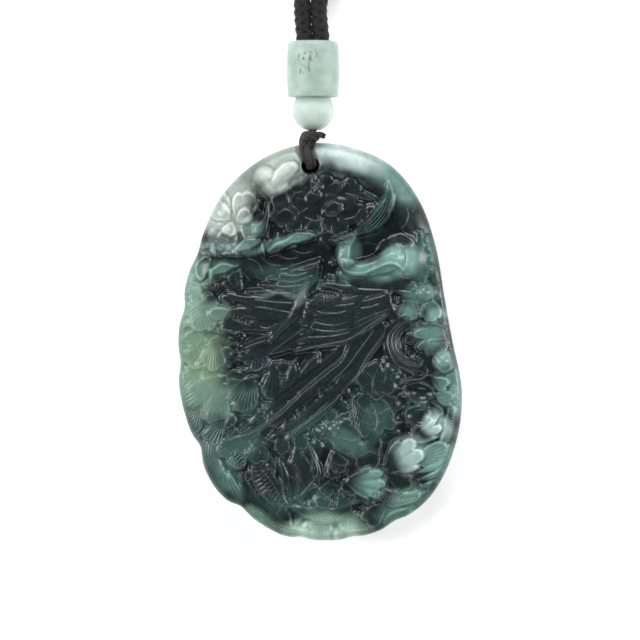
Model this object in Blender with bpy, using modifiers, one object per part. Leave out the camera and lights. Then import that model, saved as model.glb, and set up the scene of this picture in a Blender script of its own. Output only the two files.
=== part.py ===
# Jade plaque: an oval pendant carved in low relief with a phoenix among peonies,
# hung on a dark thread under two jade beads and a braided cord.
# It lies on its flat back, with +Z out of the carved face and +Y towards the cord.
# The origin is the middle of the flat back.

import math

import bmesh
import bpy
import numpy as np
from mathutils import Vector

MM = 0.001

# Plaque blank
PLAQUE_WIDTH = 42.0 * MM
PLAQUE_LENGTH = 58.7 * MM
EDGE_HEIGHT = 4.7 * MM
DOME_RISE = 1.7 * MM
RIM_RISE = 0.9 * MM
CARVING_DEPTH = 1.1
RECESS = 0.9 * MM
EDGE_ROUNDING = 1.1 * MM
CELLS_ACROSS = 40
CELLS_ALONG = 54
SHEET_BLUR = 0.4

# The carving is drawn on a squared sheet with this many steps across and along the
# plaque, and its lifts are counted in the same steps
STEPS_ACROSS = 42.0
STEPS_ALONG = 58.7
STEP = PLAQUE_WIDTH / STEPS_ACROSS

# Thread hole and the channel behind it
HOLE_X = -1.5 * MM
HOLE_FROM_TOP = 3.2 * MM
THREAD_DIAMETER = 1.9 * MM
HOLE_DIAMETER = 2.2 * MM
SEAT_WIDTH = 3.0 * MM
SEAT_DEPTH = 0.8 * MM
SEAT_SHIFT = 0.9 * MM
CHANNEL_DEPTH = 2.4 * MM
CHANNEL_ROUNDING = 0.8 * MM
CLEARANCE = 0.15 * MM

# Knot under the round bead
KNOT_WIDTH = 4.0 * MM
KNOT_HEIGHT = 1.3 * MM
KNOT_DEPTH = 2.6 * MM
KNOT_GAP = 0.3 * MM
TAIL_DIAMETER = 1.1 * MM
STEM_DIAMETER = 1.4 * MM

# Beads
BEAD_X = -1.1 * MM
ROUND_DIAMETER = 6.2 * MM
ROUND_BORE = 1.9 * MM
ROUND_FLAT = 0.4 * MM
BARREL_DIAMETER = 7.75 * MM
BARREL_LENGTH = 8.3 * MM
BARREL_BORE = 5.45 * MM
BARREL_ROUNDING = 0.7 * MM
BARREL_TAPER = 0.1 * MM
BEAD_NESTING = 1.15 * MM
AXIS_HEIGHT = BARREL_DIAMETER / 2 + 0.03 * MM

# Braided cord
CORD_DIAMETER = 2.5 * MM
STRAND_SPACING = 2.65 * MM
CORD_START = 2.2 * MM
COIL_INNER = 9.5 * MM
COIL_OUTER = 19.4 * MM
COIL_HEIGHT = 5.0 * MM
COIL_CENTRE = (15.05 * MM, 76.0 * MM)

# Outline: shares of the ellipse's radius, every fifteenth of a half turn from +X
OUTLINE = (0.930, 0.902, 0.940, 0.992, 1.016, 1.004, 1.000, 1.004, 1.010, 1.010, 0.984, 0.994,
           1.002, 1.022, 1.020, 1.044, 1.010, 1.010, 1.000, 1.020, 1.054, 1.098, 1.086, 1.032)

# Notches between the leaves that form the outline: direction in degrees, depth as a share
NOTCHES = ((153, 0.012), (170, 0.024), (186, 0.020), (212, 0.026), (236, 0.018), (262, 0.012),
           (283, 0.010), (300, 0.012))
NOTCH_SPREAD = 3.5

# Petals and leaves that spread from a foot:
# foot x and y, facing and spread in degrees, reach, lobes, lift
FANS = (
    (-13.4, 18.0, 20, 44, 3.8, 1, 0.3), (-13.4, 18.0, 80, 44, 3.8, 1, 0.4), (-13.4, 18.0, 140, 44, 3.8, 1, 0.3),
    (-13.4, 18.0, 200, 44, 3.6, 1, 0.3), (-13.4, 18.0, 262, 44, 3.4, 1, 0.4), (-13.4, 18.0, 322, 44, 3.6, 1, 0.4),
    (-0.4, 19.0, 92, 46, 6.0, 3, 0.5), (-0.8, 19.0, 158, 48, 6.6, 3, 0.5), (0.2, 18.8, 24, 46, 6.0, 3, 0.5),
    (-1.0, 19.0, 226, 44, 4.4, 2, 0.4), (0.4, 18.8, 300, 44, 3.6, 2, 0.3), (-17.4, 11.6, 250, 60, 4.4, 2, 0.4),
    (-16.0, 5.0, 214, 54, 5.0, 2, 0.5), (-15.0, 5.4, 262, 50, 4.8, 2, 0.8), (-17.0, 0.9, 222, 54, 4.4, 2, 0.3),
    (-15.0, -0.2, 262, 50, 5.2, 2, 0.6), (-9.2, 0.8, 268, 48, 5.8, 3, 0.5), (-17.8, -3.8, 212, 56, 3.8, 2, 0.2),
    (-15.6, -4.4, 238, 46, 8.2, 3, 0.7), (-14.2, -5.0, 268, 40, 7.8, 2, 1.0), (-9.0, -4.4, 243, 50, 6.6, 3, 0.7),
    (-5.8, -4.0, 262, 44, 5.2, 2, 0.6), (-17.4, -9.2, 240, 50, 5.0, 2, 0.3), (-10.6, -14.0, 222, 54, 6.0, 2, 1.0),
    (-9.2, -14.0, 282, 46, 4.6, 2, 0.8), (-5.2, -13.6, 262, 56, 3.8, 2, 0.8), (8.8, -2.6, 210, 44, 4.4, 2, 0.7),
    (9.2, -2.4, 320, 46, 4.6, 2, 0.8), (8.8, -3.0, 262, 56, 6.4, 3, 1.1), (9.6, -7.4, 308, 50, 5.6, 2, 0.7),
    (7.6, -7.6, 262, 52, 7.4, 3, 1.0), (0.6, -14.6, -14, 46, 6.6, 2, 0.8), (2.2, -19.8, 64, 42, 5.4, 2, 0.3),
    (8.6, -14.0, 238, 48, 6.0, 3, 0.4), (13.4, -14.6, 34, 48, 6.2, 3, 1.0), (13.6, -18.0, 8, 48, 6.6, 3, 0.7),
    (9.6, -16.2, -18, 74, 5.8, 4, 1.4), (9.6, -19.4, -32, 48, 5.4, 3, 0.5), (4.0, -20.2, -14, 60, 5.6, 3, 1.0),
    (9.8, -23.6, 222, 44, 6.0, 2, 0.4), (13.4, 6.8, 258, 60, 4.4, 2, 0.7), (15.6, 6.6, 290, 54, 4.6, 2, 0.9),
    (15.9, 0.4, 30, 60, 3.2, 1, 0.8), (15.9, 0.4, 150, 60, 3.0, 1, 0.8), (15.9, 0.4, 270, 60, 3.0, 1, 0.8),
)

# Leaves, feathers, stems and the bird's neck, which run along a line:
# half-widths at start, middle and end, lift, points
BANDS = (
    ((0.8, 1.9, 0.8), 0.6, ((-3.4, -25.2), (-0.4, -25.4), (2.4, -25.4), (5.0, -24.8))),
    ((0.7, 1.8, 0.7), 0.7, ((-3.7, -15.6), (-3.1, -17.8), (-2.4, -20.2), (-3.0, -23.4))),
    ((0.9, 1.8, 0.7), 0.8, ((-8.6, -18.0), (-7.9, -20.4), (-6.8, -22.4), (-4.9, -24.6))),
    ((0.9, 1.6, 1.2), 0.5, ((-15.4, -12.8), (-16.4, -15.4), (-16.3, -17.8), (-15.0, -20.2))),
    ((0.7, 1.3, 0.7), 0.5, ((-14.0, -19.8), (-12.6, -22.2), (-10.6, -24.4), (-7.4, -26.2))),
    ((0.7, 1.3, 0.7), 0.8, ((-11.6, -19.4), (-10.0, -22.6), (-7.6, -25.0), (-4.4, -27.0))),
    ((0.7, 1.4, 0.7), 0.6, ((8.0, -22.6), (10.2, -23.6), (13.2, -24.1))),
    ((0.9, 1.4, 0.7), 0.5, ((19.3, -9.6), (19.4, -11.8), (18.9, -13.4), (17.7, -15.2))),
    ((0.8, 1.5, 0.7), 0.5, ((0.0, 12.0), (-2.8, 10.6), (-6.0, 9.0), (-11.0, 7.6))),
    ((0.8, 1.4, 0.6), 0.4, ((-2.4, 7.4), (-6.0, 6.2), (-9.6, 5.9), (-14.0, 7.0))),
    ((0.8, 1.4, 0.6), 0.5, ((-2.4, 4.6), (-6.0, 3.6), (-9.0, 3.2), (-12.8, 3.4))),
    ((0.8, 1.4, 0.5), 0.5, ((-2.2, 2.2), (-5.0, 0.6), (-8.0, -0.6), (-12.4, -2.2))),
    ((0.8, 1.2, 0.8), 0.6, ((10.2, 7.2), (7.0, 6.9), (3.4, 6.8), (-1.0, 7.2))),
    ((0.8, 1.3, 0.9), 0.9, ((10.4, 6.0), (7.0, 5.2), (3.0, 4.8), (-1.8, 4.8))),
    ((0.7, 1.3, 0.9), 1.2, ((10.7, 5.0), (7.0, 3.3), (3.4, 2.5), (-1.8, 2.2))),
    ((0.7, 1.3, 0.7), 1.4, ((10.9, 4.5), (7.0, 1.7), (4.0, 0.4), (0.0, -0.4), (-3.6, -1.4))),
    ((1.0, 1.8, 1.0), 0.4, ((9.2, 0.8), (5.6, -3.4), (1.6, -7.4), (-3.0, -10.8), (-8.0, -14.0))),
    ((0.6, 1.1, 0.6), 1.2, ((9.8, 2.9), (6.2, -0.2), (3.0, -3.4), (-1.6, -7.0), (-6.4, -10.8), (-13.8, -14.8))),
    ((0.6, 1.1, 0.6), 1.5, ((9.2, 0.8), (7.0, -2.2), (4.6, -5.4), (2.0, -8.6), (-1.2, -11.4), (-6.0, -14.8))),
    ((0.7, 1.1, 0.6), 0.7, ((10.4, 3.0), (10.0, 0.2), (10.8, -2.4), (12.8, -4.2), (15.6, -4.2))),
    ((0.7, 1.3, 0.8), 0.8, ((14.6, 16.0), (15.3, 13.6), (15.6, 11.4), (15.2, 8.7))),
    ((0.6, 1.2, 0.6), 0.9, ((-17.6, 13.8), (-14.6, 14.3), (-11.6, 13.9), (-8.4, 15.0))),
    ((0.6, 1.2, 0.7), 0.9, ((-7.8, 13.2), (-5.4, 14.5), (-3.4, 15.4), (-1.0, 15.7))),
    ((0.6, 1.1, 0.6), 1.0, ((-16.6, 9.8), (-14.6, 11.0), (-12.4, 11.2))),
    ((0.6, 0.9, 1.3), 0.9, ((-7.6, 20.4), (-8.0, 18.3), (-8.8, 16.2))),
    ((0.8, 1.2, 1.0), 1.1, ((-6.8, 23.2), (-5.4, 24.6), (-4.1, 25.9))),
    ((0.6, 1.8, 0.6), 0.9, ((4.4, 15.6), (7.0, 17.0), (9.3, 19.2), (10.2, 21.6), (9.8, 24.0))),
    ((1.1, 1.4, 1.1), 0.4, ((3.4, 9.8), (6.6, 8.8), (10.0, 8.6), (13.2, 8.4))),
    ((1.2, 1.5, 2.0), 1.8, ((3.6, 12.8), (3.9, 11.0), (7.2, 10.6), (10.2, 12.0), (12.2, 12.4))),
    ((0.9, 1.0, 1.1), 1.9, ((4.5, 15.3), (3.9, 13.8), (3.7, 12.0))),
    ((0.5, 0.9, 1.0), 2.0, ((1.7, 15.0), (3.1, 14.8), (4.4, 15.2))),
)

# Rounded lumps: x, y, radius, lift
LUMPS = (
    (-8.0, 24.2, 1.5, 0.7), (-13.4, 18.2, 2.2, 1.0), (12.3, 12.2, 2.9, 1.6), (-0.8, 20.4, 1.6, 1.1),
    (15.5, 7.4, 1.9, 0.9), (15.9, 0.4, 1.6, 1.1), (18.3, -2.9, 1.8, 0.8), (18.3, -6.2, 1.6, 0.6),
    (1.4, -12.8, 1.5, 0.9), (9.8, -4.6, 1.4, 1.4), (-10.0, -16.6, 1.4, 1.3),
)

# Open cups with a raised lip: x, y, half-width, half-length, turn in degrees, lift
CUPS = (
    (-4.8, 18.4, 2.3, 1.9, 12, 1.0), (2.4, 19.2, 2.4, 1.7, 20, 1.2), (12.9, 0.0, 2.1, 2.6, 12, 1.0),
    (14.3, -7.5, 2.8, 2.0, -18, 1.2), (14.4, -11.2, 2.2, 1.8, 0, 1.0), (-17.0, 11.2, 1.4, 2.3, -18, 0.8),
)


# Smooth hollows: x, y, half-width, half-length, turn in degrees, depth
HOLLOWS = (
    (7.2, 14.0, 3.0, 1.9, 20, 1.4), (1.2, 13.2, 1.8, 2.6, 0, 1.0), (-2.4, 4.4, 0.9, 4.6, -8, 0.9),
    (2.0, -3.0, 4.6, 1.3, 38, 0.9), (5.2, -10.0, 0.9, 4.0, 8, 0.9), (12.6, 16.0, 2.0, 2.6, 30, 0.8),
)


def smooth_path(points, steps=8):
    """Points along a smooth curve through the given ones (two or three coordinates)."""
    rows = [np.array(p, float) for p in points]
    rows = [2 * rows[0] - rows[1], *rows, 2 * rows[-1] - rows[-2]]
    path = []
    for a, b, c, d in zip(rows, rows[1:], rows[2:], rows[3:]):
        for step in range(steps):
            f = step / steps
            path.append(0.5 * (2 * b + (c - a) * f + (2 * a - 5 * b + 4 * c - d) * f * f
                               + (3 * b - a - 3 * c + d) * f ** 3))
    path.append(rows[-2])
    return path


def ramp(x):
    """Smooth step from 0 to 1."""
    x = np.clip(x, 0.0, 1.0)
    return x * x * (3 - 2 * x)


def outline_share(turn):
    """How far the outline reaches in each direction, as a share of the ellipse."""
    place = np.mod(turn / (2 * math.pi), 1.0) * len(OUTLINE)
    first = np.floor(place).astype(int)
    f = place - first
    a, b, c, d = (np.take(OUTLINE, first + shift, mode="wrap") for shift in (-1, 0, 1, 2))
    share = 0.5 * (2 * b + (c - a) * f + (2 * a - 5 * b + 4 * c - d) * f ** 2
                   + (3 * b - a - 3 * c + d) * f ** 3)
    degrees = np.degrees(np.mod(turn, 2 * math.pi))
    for direction, depth in NOTCHES:
        share = share - depth * np.exp(-((degrees - direction) / NOTCH_SPREAD) ** 2)
    return share


class Carving:
    """Heights over the blank's back in steps of the sheet, at a set of its places."""

    EDGE = 0.6
    TRENCH = 0.5
    TRENCH_WIDTH = 0.6

    def __init__(self, x, y):
        self.x, self.y = x, y
        turn = np.arctan2(y / STEPS_ALONG, x / STEPS_ACROSS)
        self.reach = 2 * np.hypot(x / STEPS_ACROSS, y / STEPS_ALONG) / outline_share(turn)
        inside = np.clip(1 - self.reach ** 2.6, 0, 1)
        self.ground = (EDGE_HEIGHT + DOME_RISE * inside ** 0.8) / STEP
        top = ramp((np.sin(turn) - 0.32) / 0.3) * ramp((self.reach - 0.80) / 0.10)
        side = ramp((np.cos(turn) - 0.3) / 0.3) * ramp((self.reach - 0.94) / 0.04)
        self.top, self.bare = top, np.maximum(top, side)
        self.height = self.ground - RECESS / STEP * (1 - self.bare) * ramp((1.02 - self.reach) / 0.1)

    def lay(self, body, gap):
        """Put a form on the face: gap is how far inside the form's edge each place is."""
        cover = ramp(gap / self.EDGE + 0.5)
        trench = self.TRENCH * np.exp(-np.abs(gap) / self.TRENCH_WIDTH) * (gap < 0)
        self.height = cover * np.maximum(body, self.height - 0.4) + (1 - cover) * (self.height - trench)

    def fan(self, x, y, facing, spread, reach, lobes, lift):
        """A petal or a lobed leaf that opens from its foot to a scalloped rim."""
        dx, dy = self.x - x, self.y - y
        r = np.hypot(dx, dy)
        off = np.angle(np.exp(1j * (np.arctan2(dy, dx) - math.radians(facing))))
        spread = math.radians(spread)
        side = np.clip(np.abs(off) / spread, 0, 1)
        wave = np.abs(np.cos(0.5 * math.pi * (lobes * off / spread + lobes - 1)))
        rim = reach * (1 - side ** 3.2) ** 0.55 * (1 - 0.14 * (1 - wave) ** 1.5) + 0.01
        along = np.clip(r / rim, 0, 1)
        body = self.ground + lift * (0.35 + 0.85 * np.sin(along * math.pi * 0.55)) + 0.3 * wave * along ** 2
        self.lay(body, np.minimum(rim - r, (spread - np.abs(off)) * np.maximum(r, 0.3)))

    def band(self, widths, lift, points):
        """A leaf, a feather or a neck along a curve, round across."""
        path = smooth_path(points, 5)
        count = len(path) - 1
        best = np.full_like(self.x, 1e9)
        across = np.zeros_like(self.x)
        half = np.ones_like(self.x)
        for number, (a, b) in enumerate(zip(path, path[1:])):
            run = b - a
            f = np.clip(((self.x - a[0]) * run[0] + (self.y - a[1]) * run[1]) / (run @ run), 0, 1)
            away = np.hypot(self.x - a[0] - f * run[0], self.y - a[1] - f * run[1])
            s = (number + f) / count
            width = widths[0] * (1 - s) * (1 - 2 * s) + 4 * widths[1] * s * (1 - s) + widths[2] * s * (2 * s - 1)
            nearer = away / width < best
            best = np.where(nearer, away / width, best)
            across = np.where(nearer, away, across)
            half = np.where(nearer, width, half)
        crown = np.sqrt(np.clip(1 - best ** 2, 0, 1))
        self.lay(self.ground + lift + 0.45 * half * crown, half - across)

    def lump(self, x, y, radius, lift):
        """A rounded bud, pearl or blob."""
        r = np.hypot(self.x - x, self.y - y)
        crown = np.sqrt(np.clip(1 - (r / radius) ** 2, 0, 1))
        self.lay(self.ground + lift + 0.55 * radius * crown, radius - r)

    def cup(self, x, y, half_width, half_length, turn, lift):
        """A hollow petal with a raised lip."""
        c, s = math.cos(math.radians(turn)), math.sin(math.radians(turn))
        u = ((self.x - x) * c + (self.y - y) * s) / half_width
        v = ((self.y - y) * c - (self.x - x) * s) / half_length
        r = np.hypot(u, v)
        body = self.ground + lift - 1.1 * np.clip(1 - (r / 0.8) ** 2, 0, 1)
        self.lay(body, (1 - r) * min(half_width, half_length))

    def hollow(self, x, y, half_width, half_length, turn, depth):
        """A smooth scooped hollow in what is there."""
        c, s = math.cos(math.radians(turn)), math.sin(math.radians(turn))
        u = ((self.x - x) * c + (self.y - y) * s) / half_width
        v = ((self.y - y) * c - (self.x - x) * s) / half_length
        self.height = self.height - depth * np.clip(1 - u * u - v * v, 0, 1) ** 0.7

    def carve(self):
        """All forms from back to front, then the plain rim and the seat of the thread."""
        for fan in FANS:
            self.fan(*fan)
        for cup in CUPS:
            self.cup(*cup)
        for hollow in HOLLOWS:
            self.hollow(*hollow)
        for band in BANDS:
            self.band(*band)
        for lump in LUMPS:
            self.lump(*lump)
        relief = (self.height - self.ground) * CARVING_DEPTH
        relief = relief * (1 - 0.55 * ramp((self.reach - 0.88) / 0.12))
        relief = relief * (1 - self.bare)
        rim = RIM_RISE * self.top * ramp((1.06 - self.reach) / 0.16)
        seat = thread_seat(self.x * STEP, self.y * PLAQUE_LENGTH / STEPS_ALONG)
        return (self.ground + relief) * STEP + rim - seat


def seat_x(y):
    """The middle of the front groove at a place along the plaque."""
    return HOLE_X - SEAT_SHIFT * ramp((y - hole_y()) / (HOLE_FROM_TOP * 0.8))


def thread_seat(x, y):
    """How deep the front groove is that the thread lies in, from the hole to the top edge."""
    across = np.clip(1 - ((x - seat_x(y)) * 2 / SEAT_WIDTH) ** 2, 0, 1)
    return SEAT_DEPTH * across * ramp((y - hole_y() + HOLE_DIAMETER / 2) / (HOLE_DIAMETER / 2))


def hole_y():
    """Where the thread hole is along the plaque."""
    return PLAQUE_LENGTH / 2 - HOLE_FROM_TOP


def face_place(a, b, scale=1.0):
    """A place of the square sheet (-1..1) on the round plaque, in metres."""
    if a == 0 and b == 0:
        return 0.0, 0.0
    if abs(a) > abs(b):
        r, turn = a, math.pi / 4 * b / a
    else:
        r, turn = b, math.pi / 2 - math.pi / 4 * a / b
    x, y = r * math.cos(turn), r * math.sin(turn)
    share = scale * float(outline_share(np.array(math.atan2(y, x))))
    return x * share * PLAQUE_WIDTH / 2, y * share * PLAQUE_LENGTH / 2


def face_heights(places, blur=0.0):
    """The carved height at places in metres, each averaged over a small ring."""
    x = np.array([p[0] for p in places]) * STEPS_ACROSS / PLAQUE_WIDTH
    y = np.array([p[1] for p in places]) * STEPS_ALONG / PLAQUE_LENGTH
    ring = [(0.0, 0.0)] + [(math.cos(k * math.pi / 3), math.sin(k * math.pi / 3)) for k in range(6)]
    heights = [Carving(x + blur * dx, y + blur * dy).carve() for dx, dy in ring]
    return np.mean(heights, axis=0)


def material(name, colour, roughness, metallic=0.0):
    """A plain material from an sRGB hex colour."""
    made = bpy.data.materials.new(name)
    made.use_nodes = True
    channels = [int(colour[i:i + 2], 16) / 255 for i in (0, 2, 4)]
    linear = [c / 12.92 if c <= 0.04045 else ((c + 0.055) / 1.055) ** 2.4 for c in channels]
    shader = made.node_tree.nodes["Principled BSDF"]
    shader.inputs["Base Color"].default_value = (*linear, 1.0)
    shader.inputs["Roughness"].default_value = roughness
    shader.inputs["Metallic"].default_value = metallic
    return made


def add_object(name, data, collection):
    """A new object in a collection."""
    made = bpy.data.objects.new(name, data)
    collection.objects.link(made)
    return made


def finish(made, finish_material):
    """Give an object its one material and round shading."""
    made.data.materials.clear()
    made.data.materials.append(finish_material)
    made.data.shade_smooth()
    made.data.set_sharp_from_angle(angle=math.radians(40))
    return made


def hide_cutter(cutter):
    """Mark an object as a cutter."""
    cutter.hide_render = True
    cutter.display_type = "WIRE"
    return cutter


def cut(target, cutter, operation="DIFFERENCE"):
    """Cut one object by another, or join another to it."""
    boolean = target.modifiers.new(cutter.name, "BOOLEAN")
    boolean.operation = operation
    boolean.object = cutter


def build_plaque(parts, cutters):
    """The carved blank: a relief sheet, its rounded sides and its flat back."""
    work = bmesh.new()
    bmesh.ops.create_grid(work, x_segments=CELLS_ACROSS, y_segments=CELLS_ALONG, size=1.0)
    inset = 1 - 2 * EDGE_ROUNDING * 0.6 / PLAQUE_WIDTH
    for vert in work.verts:
        x, y = face_place(vert.co.x, vert.co.y, inset)
        vert.co.x, vert.co.y = x, y
    work.verts.ensure_lookup_table()
    heights = face_heights([(v.co.x, v.co.y) for v in work.verts], SHEET_BLUR)
    for vert, height in zip(work.verts, heights):
        vert.co.z = height
    rim = [edge for edge in work.edges if edge.is_boundary]
    rings = ((0.35, 0.35), (0.0, 1.0), (0.0, None), (0.6, 0.0))
    for side, drop in rings:
        made = bmesh.ops.extrude_edge_only(work, edges=rim)["geom"]
        for vert in (g for g in made if isinstance(g, bmesh.types.BMVert)):
            turn = math.atan2(vert.co.y / PLAQUE_LENGTH, vert.co.x / PLAQUE_WIDTH)
            share = float(outline_share(np.array(turn)))
            inward = 1 - 2 * EDGE_ROUNDING * side / PLAQUE_WIDTH
            vert.co.x = PLAQUE_WIDTH / 2 * share * inward * math.cos(turn)
            vert.co.y = PLAQUE_LENGTH / 2 * share * inward * math.sin(turn)
            if side and drop == 0.0:
                vert.co.z = 0.0
            elif drop is None:
                vert.co.z = EDGE_ROUNDING * 0.7
            else:
                vert.co.z -= EDGE_ROUNDING * drop * 0.8
        rim = [g for g in made if isinstance(g, bmesh.types.BMEdge)]
    bmesh.ops.contextual_create(work, geom=rim)
    bmesh.ops.recalc_face_normals(work, faces=work.faces)
    mesh = bpy.data.meshes.new("jade_plaque")
    work.to_mesh(mesh)
    work.free()
    plaque = finish(add_object("jade_plaque", mesh, parts), material("dark_green_jade", "4b5f5c", 0.15))
    cut(plaque, build_hole_cutter(cutters))
    cut(plaque, build_channel_cutter(cutters))
    return plaque


def build_hole_cutter(cutters):
    """The drill that makes the thread hole, front to back."""
    depth = 4 * EDGE_HEIGHT
    work = bmesh.new()
    bmesh.ops.create_cone(work, cap_ends=True, segments=20, radius1=HOLE_DIAMETER / 2,
                          radius2=HOLE_DIAMETER / 2, depth=depth)
    bmesh.ops.translate(work, verts=work.verts, vec=(HOLE_X, hole_y(), 0))
    mesh = bpy.data.meshes.new("thread_hole")
    work.to_mesh(mesh)
    work.free()
    return hide_cutter(add_object("thread_hole", mesh, cutters))


def build_channel_cutter(cutters):
    """The channel in the back that lets the thread lie flush, from the hole to the top edge."""
    length = HOLE_FROM_TOP + HOLE_DIAMETER
    work = bmesh.new()
    bmesh.ops.create_cube(work, size=1.0)
    bmesh.ops.scale(work, verts=work.verts, vec=(HOLE_DIAMETER, length, 2 * CHANNEL_DEPTH))
    bmesh.ops.translate(work, verts=work.verts, vec=(HOLE_X, hole_y() + length / 2, 0))
    top = [e for e in work.edges if all(v.co.z > 0 for v in e.verts)
           and abs(e.verts[0].co.x - e.verts[1].co.x) < MM / 100]
    bmesh.ops.bevel(work, geom=top, offset=CHANNEL_ROUNDING, segments=3, affect="EDGES", profile=0.5)
    mesh = bpy.data.meshes.new("thread_channel")
    work.to_mesh(mesh)
    work.free()
    return hide_cutter(add_object("thread_channel", mesh, cutters))


def knot_y():
    """The middle of the knot, just past the plaque's top edge."""
    return PLAQUE_LENGTH / 2 + KNOT_GAP + KNOT_HEIGHT / 2


def round_y():
    """The middle of the round bead, which sits on the knot."""
    return knot_y() + KNOT_HEIGHT / 2 + ROUND_DIAMETER / 2 + CLEARANCE


def barrel_start():
    """The barrel's lower end, with the round bead nested in its bore."""
    return round_y() + ROUND_DIAMETER / 2 - BEAD_NESTING


def tube(name, points, diameter, collection, cyclic=False, sides=2):
    """A round tube through points, as a curve."""
    curve = bpy.data.curves.new(name, "CURVE")
    curve.dimensions = "3D"
    curve.bevel_depth = diameter / 2
    curve.bevel_resolution = sides
    curve.use_fill_caps = not cyclic
    spline = curve.splines.new("POLY")
    spline.points.add(len(points) - 1)
    for point, place in zip(spline.points, points):
        point.co = (*place, 1.0)
    spline.use_cyclic_u = cyclic
    return add_object(name, curve, collection)


def as_mesh(made):
    """Turn a curve object into a closed mesh object."""
    depsgraph = bpy.context.evaluated_depsgraph_get()
    mesh = bpy.data.meshes.new_from_object(made.evaluated_get(depsgraph))
    work = bmesh.new()
    work.from_mesh(mesh)
    bmesh.ops.remove_doubles(work, verts=work.verts, dist=MM / 1000)
    work.to_mesh(mesh)
    work.free()
    name, place, home = made.name, made.matrix_world.copy(), made.users_collection[0]
    bpy.data.objects.remove(made)
    solid = add_object(name, mesh, home)
    solid.matrix_world = place
    return solid


def thread_route():
    """The thread's loop round the bridge of jade between the hole and the top edge."""
    half = THREAD_DIAMETER / 2 + CLEARANCE
    top = PLAQUE_LENGTH / 2
    wall = hole_y() + HOLE_DIAMETER / 2
    front = [(float(seat_x(y)), y) for y in (top - 0.25 * MM, (top + wall) / 2, wall)]
    over = [(x, y, z + half) for (x, y), z in zip(front, face_heights(front))]
    lip = over[-1][2] - half
    back = CHANNEL_DEPTH
    turn = half * math.sqrt(0.5)
    knot = knot_y()
    return [(BEAD_X - KNOT_WIDTH / 14, knot, AXIS_HEIGHT + KNOT_DEPTH / 4),
            (float(seat_x(top)) + CLEARANCE * 2, top + half * 0.8, over[0][2] - CLEARANCE * 2),
            *over,
            (HOLE_X, wall - turn, lip + turn),
            (HOLE_X, wall - half, lip),
            (HOLE_X, wall - half, back),
            (HOLE_X, wall - turn, back - turn),
            (HOLE_X, wall, back - half),
            (HOLE_X, top, back - half),
            (HOLE_X, top + half * 0.8, back - half * 0.6),
            (BEAD_X, knot, AXIS_HEIGHT - KNOT_DEPTH / 4)]


def build_thread(parts, cutters):
    """The dark thread: loop, knot, tail and the stem through the round bead, tied as one."""
    work = bmesh.new()
    bmesh.ops.create_uvsphere(work, u_segments=16, v_segments=10, radius=0.5)
    bmesh.ops.scale(work, verts=work.verts, vec=(KNOT_WIDTH, KNOT_DEPTH, KNOT_HEIGHT))
    bmesh.ops.rotate(work, verts=work.verts, matrix=ALONG_Y)
    bmesh.ops.translate(work, verts=work.verts, vec=(BEAD_X, knot_y(), AXIS_HEIGHT))
    mesh = bpy.data.meshes.new("hanging_thread")
    work.to_mesh(mesh)
    work.free()
    knot = add_object("hanging_thread", mesh, parts)
    loop = as_mesh(tube("loop", smooth_path(thread_route(), 3), THREAD_DIAMETER, cutters))
    stem_end = barrel_start() + CORD_START - CLEARANCE * 3
    stem = as_mesh(tube("stem", [(BEAD_X, knot_y(), AXIS_HEIGHT), (BEAD_X, stem_end, AXIS_HEIGHT)],
                        STEM_DIAMETER, cutters))
    tail_side = BEAD_X + KNOT_WIDTH / 2 - TAIL_DIAMETER
    tail = as_mesh(tube("tail", [(tail_side, knot_y(), AXIS_HEIGHT + TAIL_DIAMETER * 0.4),
                                 (tail_side + TAIL_DIAMETER * 0.8, knot_y(), AXIS_HEIGHT + TAIL_DIAMETER * 0.6)],
                        TAIL_DIAMETER, cutters))
    for piece in (loop, stem, tail):
        cut(knot, hide_cutter(piece), "UNION")
    return finish(knot, material("dark_thread", "3e3b39", 0.8))


def turned(name, profile, segments, parts, colour, roughness):
    """A bead turned about the cord's axis: profile of (radius, place along the axis)."""
    mesh = bpy.data.meshes.new(name)
    count = len(profile)
    mesh.from_pydata([(r, 0, y) for r, y in profile], [(i, (i + 1) % count) for i in range(count)], [])
    bead = add_object(name, mesh, parts)
    screw = bead.modifiers.new("turn", "SCREW")
    screw.axis = "Z"
    screw.steps = segments
    screw.render_steps = segments
    screw.use_merge_vertices = True
    screw.merge_threshold = MM / 1000
    screw.use_normal_calculate = True
    bead.rotation_euler = (-math.pi / 2, 0, 0)
    bead.location = (BEAD_X, 0, AXIS_HEIGHT)
    mesh.materials.append(material(name + "_jade", colour, roughness))
    return bead


def corner(radius, along, rounding, start, steps=3):
    """A quarter round of a turned profile, from one angle in degrees over the next ninety."""
    points = []
    for step in range(steps + 1):
        turn = math.radians(start - 90 * step / steps)
        points.append((radius + rounding * math.cos(turn), along + rounding * math.sin(turn)))
    return points


def build_round_bead(parts):
    """The pale round bead, bored for the thread."""
    radius, bore = ROUND_DIAMETER / 2, ROUND_BORE / 2
    steep = math.degrees(math.acos((bore + ROUND_FLAT / 2) / radius))
    profile = [(bore, round_y() + radius * math.sin(math.radians(steep)) * 0.97)]
    for step in range(11):
        turn = math.radians(steep - 2 * steep * step / 10)
        profile.append((radius * math.cos(turn), round_y() + radius * math.sin(turn)))
    profile.append((bore, round_y() - radius * math.sin(math.radians(steep)) * 0.97))
    return turned("round_bead", profile, 24, parts, "d1e3dc", 0.12)


def build_barrel(parts):
    """The barrel bead, bored for both strands of the cord."""
    start, end = barrel_start(), barrel_start() + BARREL_LENGTH
    radius, bore, edge = BARREL_DIAMETER / 2, BARREL_BORE / 2, BARREL_ROUNDING
    profile = [(bore, end), *corner(radius - BARREL_TAPER - edge, end - edge, edge, 90),
               (radius, (start + end) / 2), *corner(radius - BARREL_TAPER - edge / 2, start + edge / 2, edge / 2, 0),
               (bore, start)]
    return turned("barrel_bead", profile, 32, parts, "a3bab1", 0.16)


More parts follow.
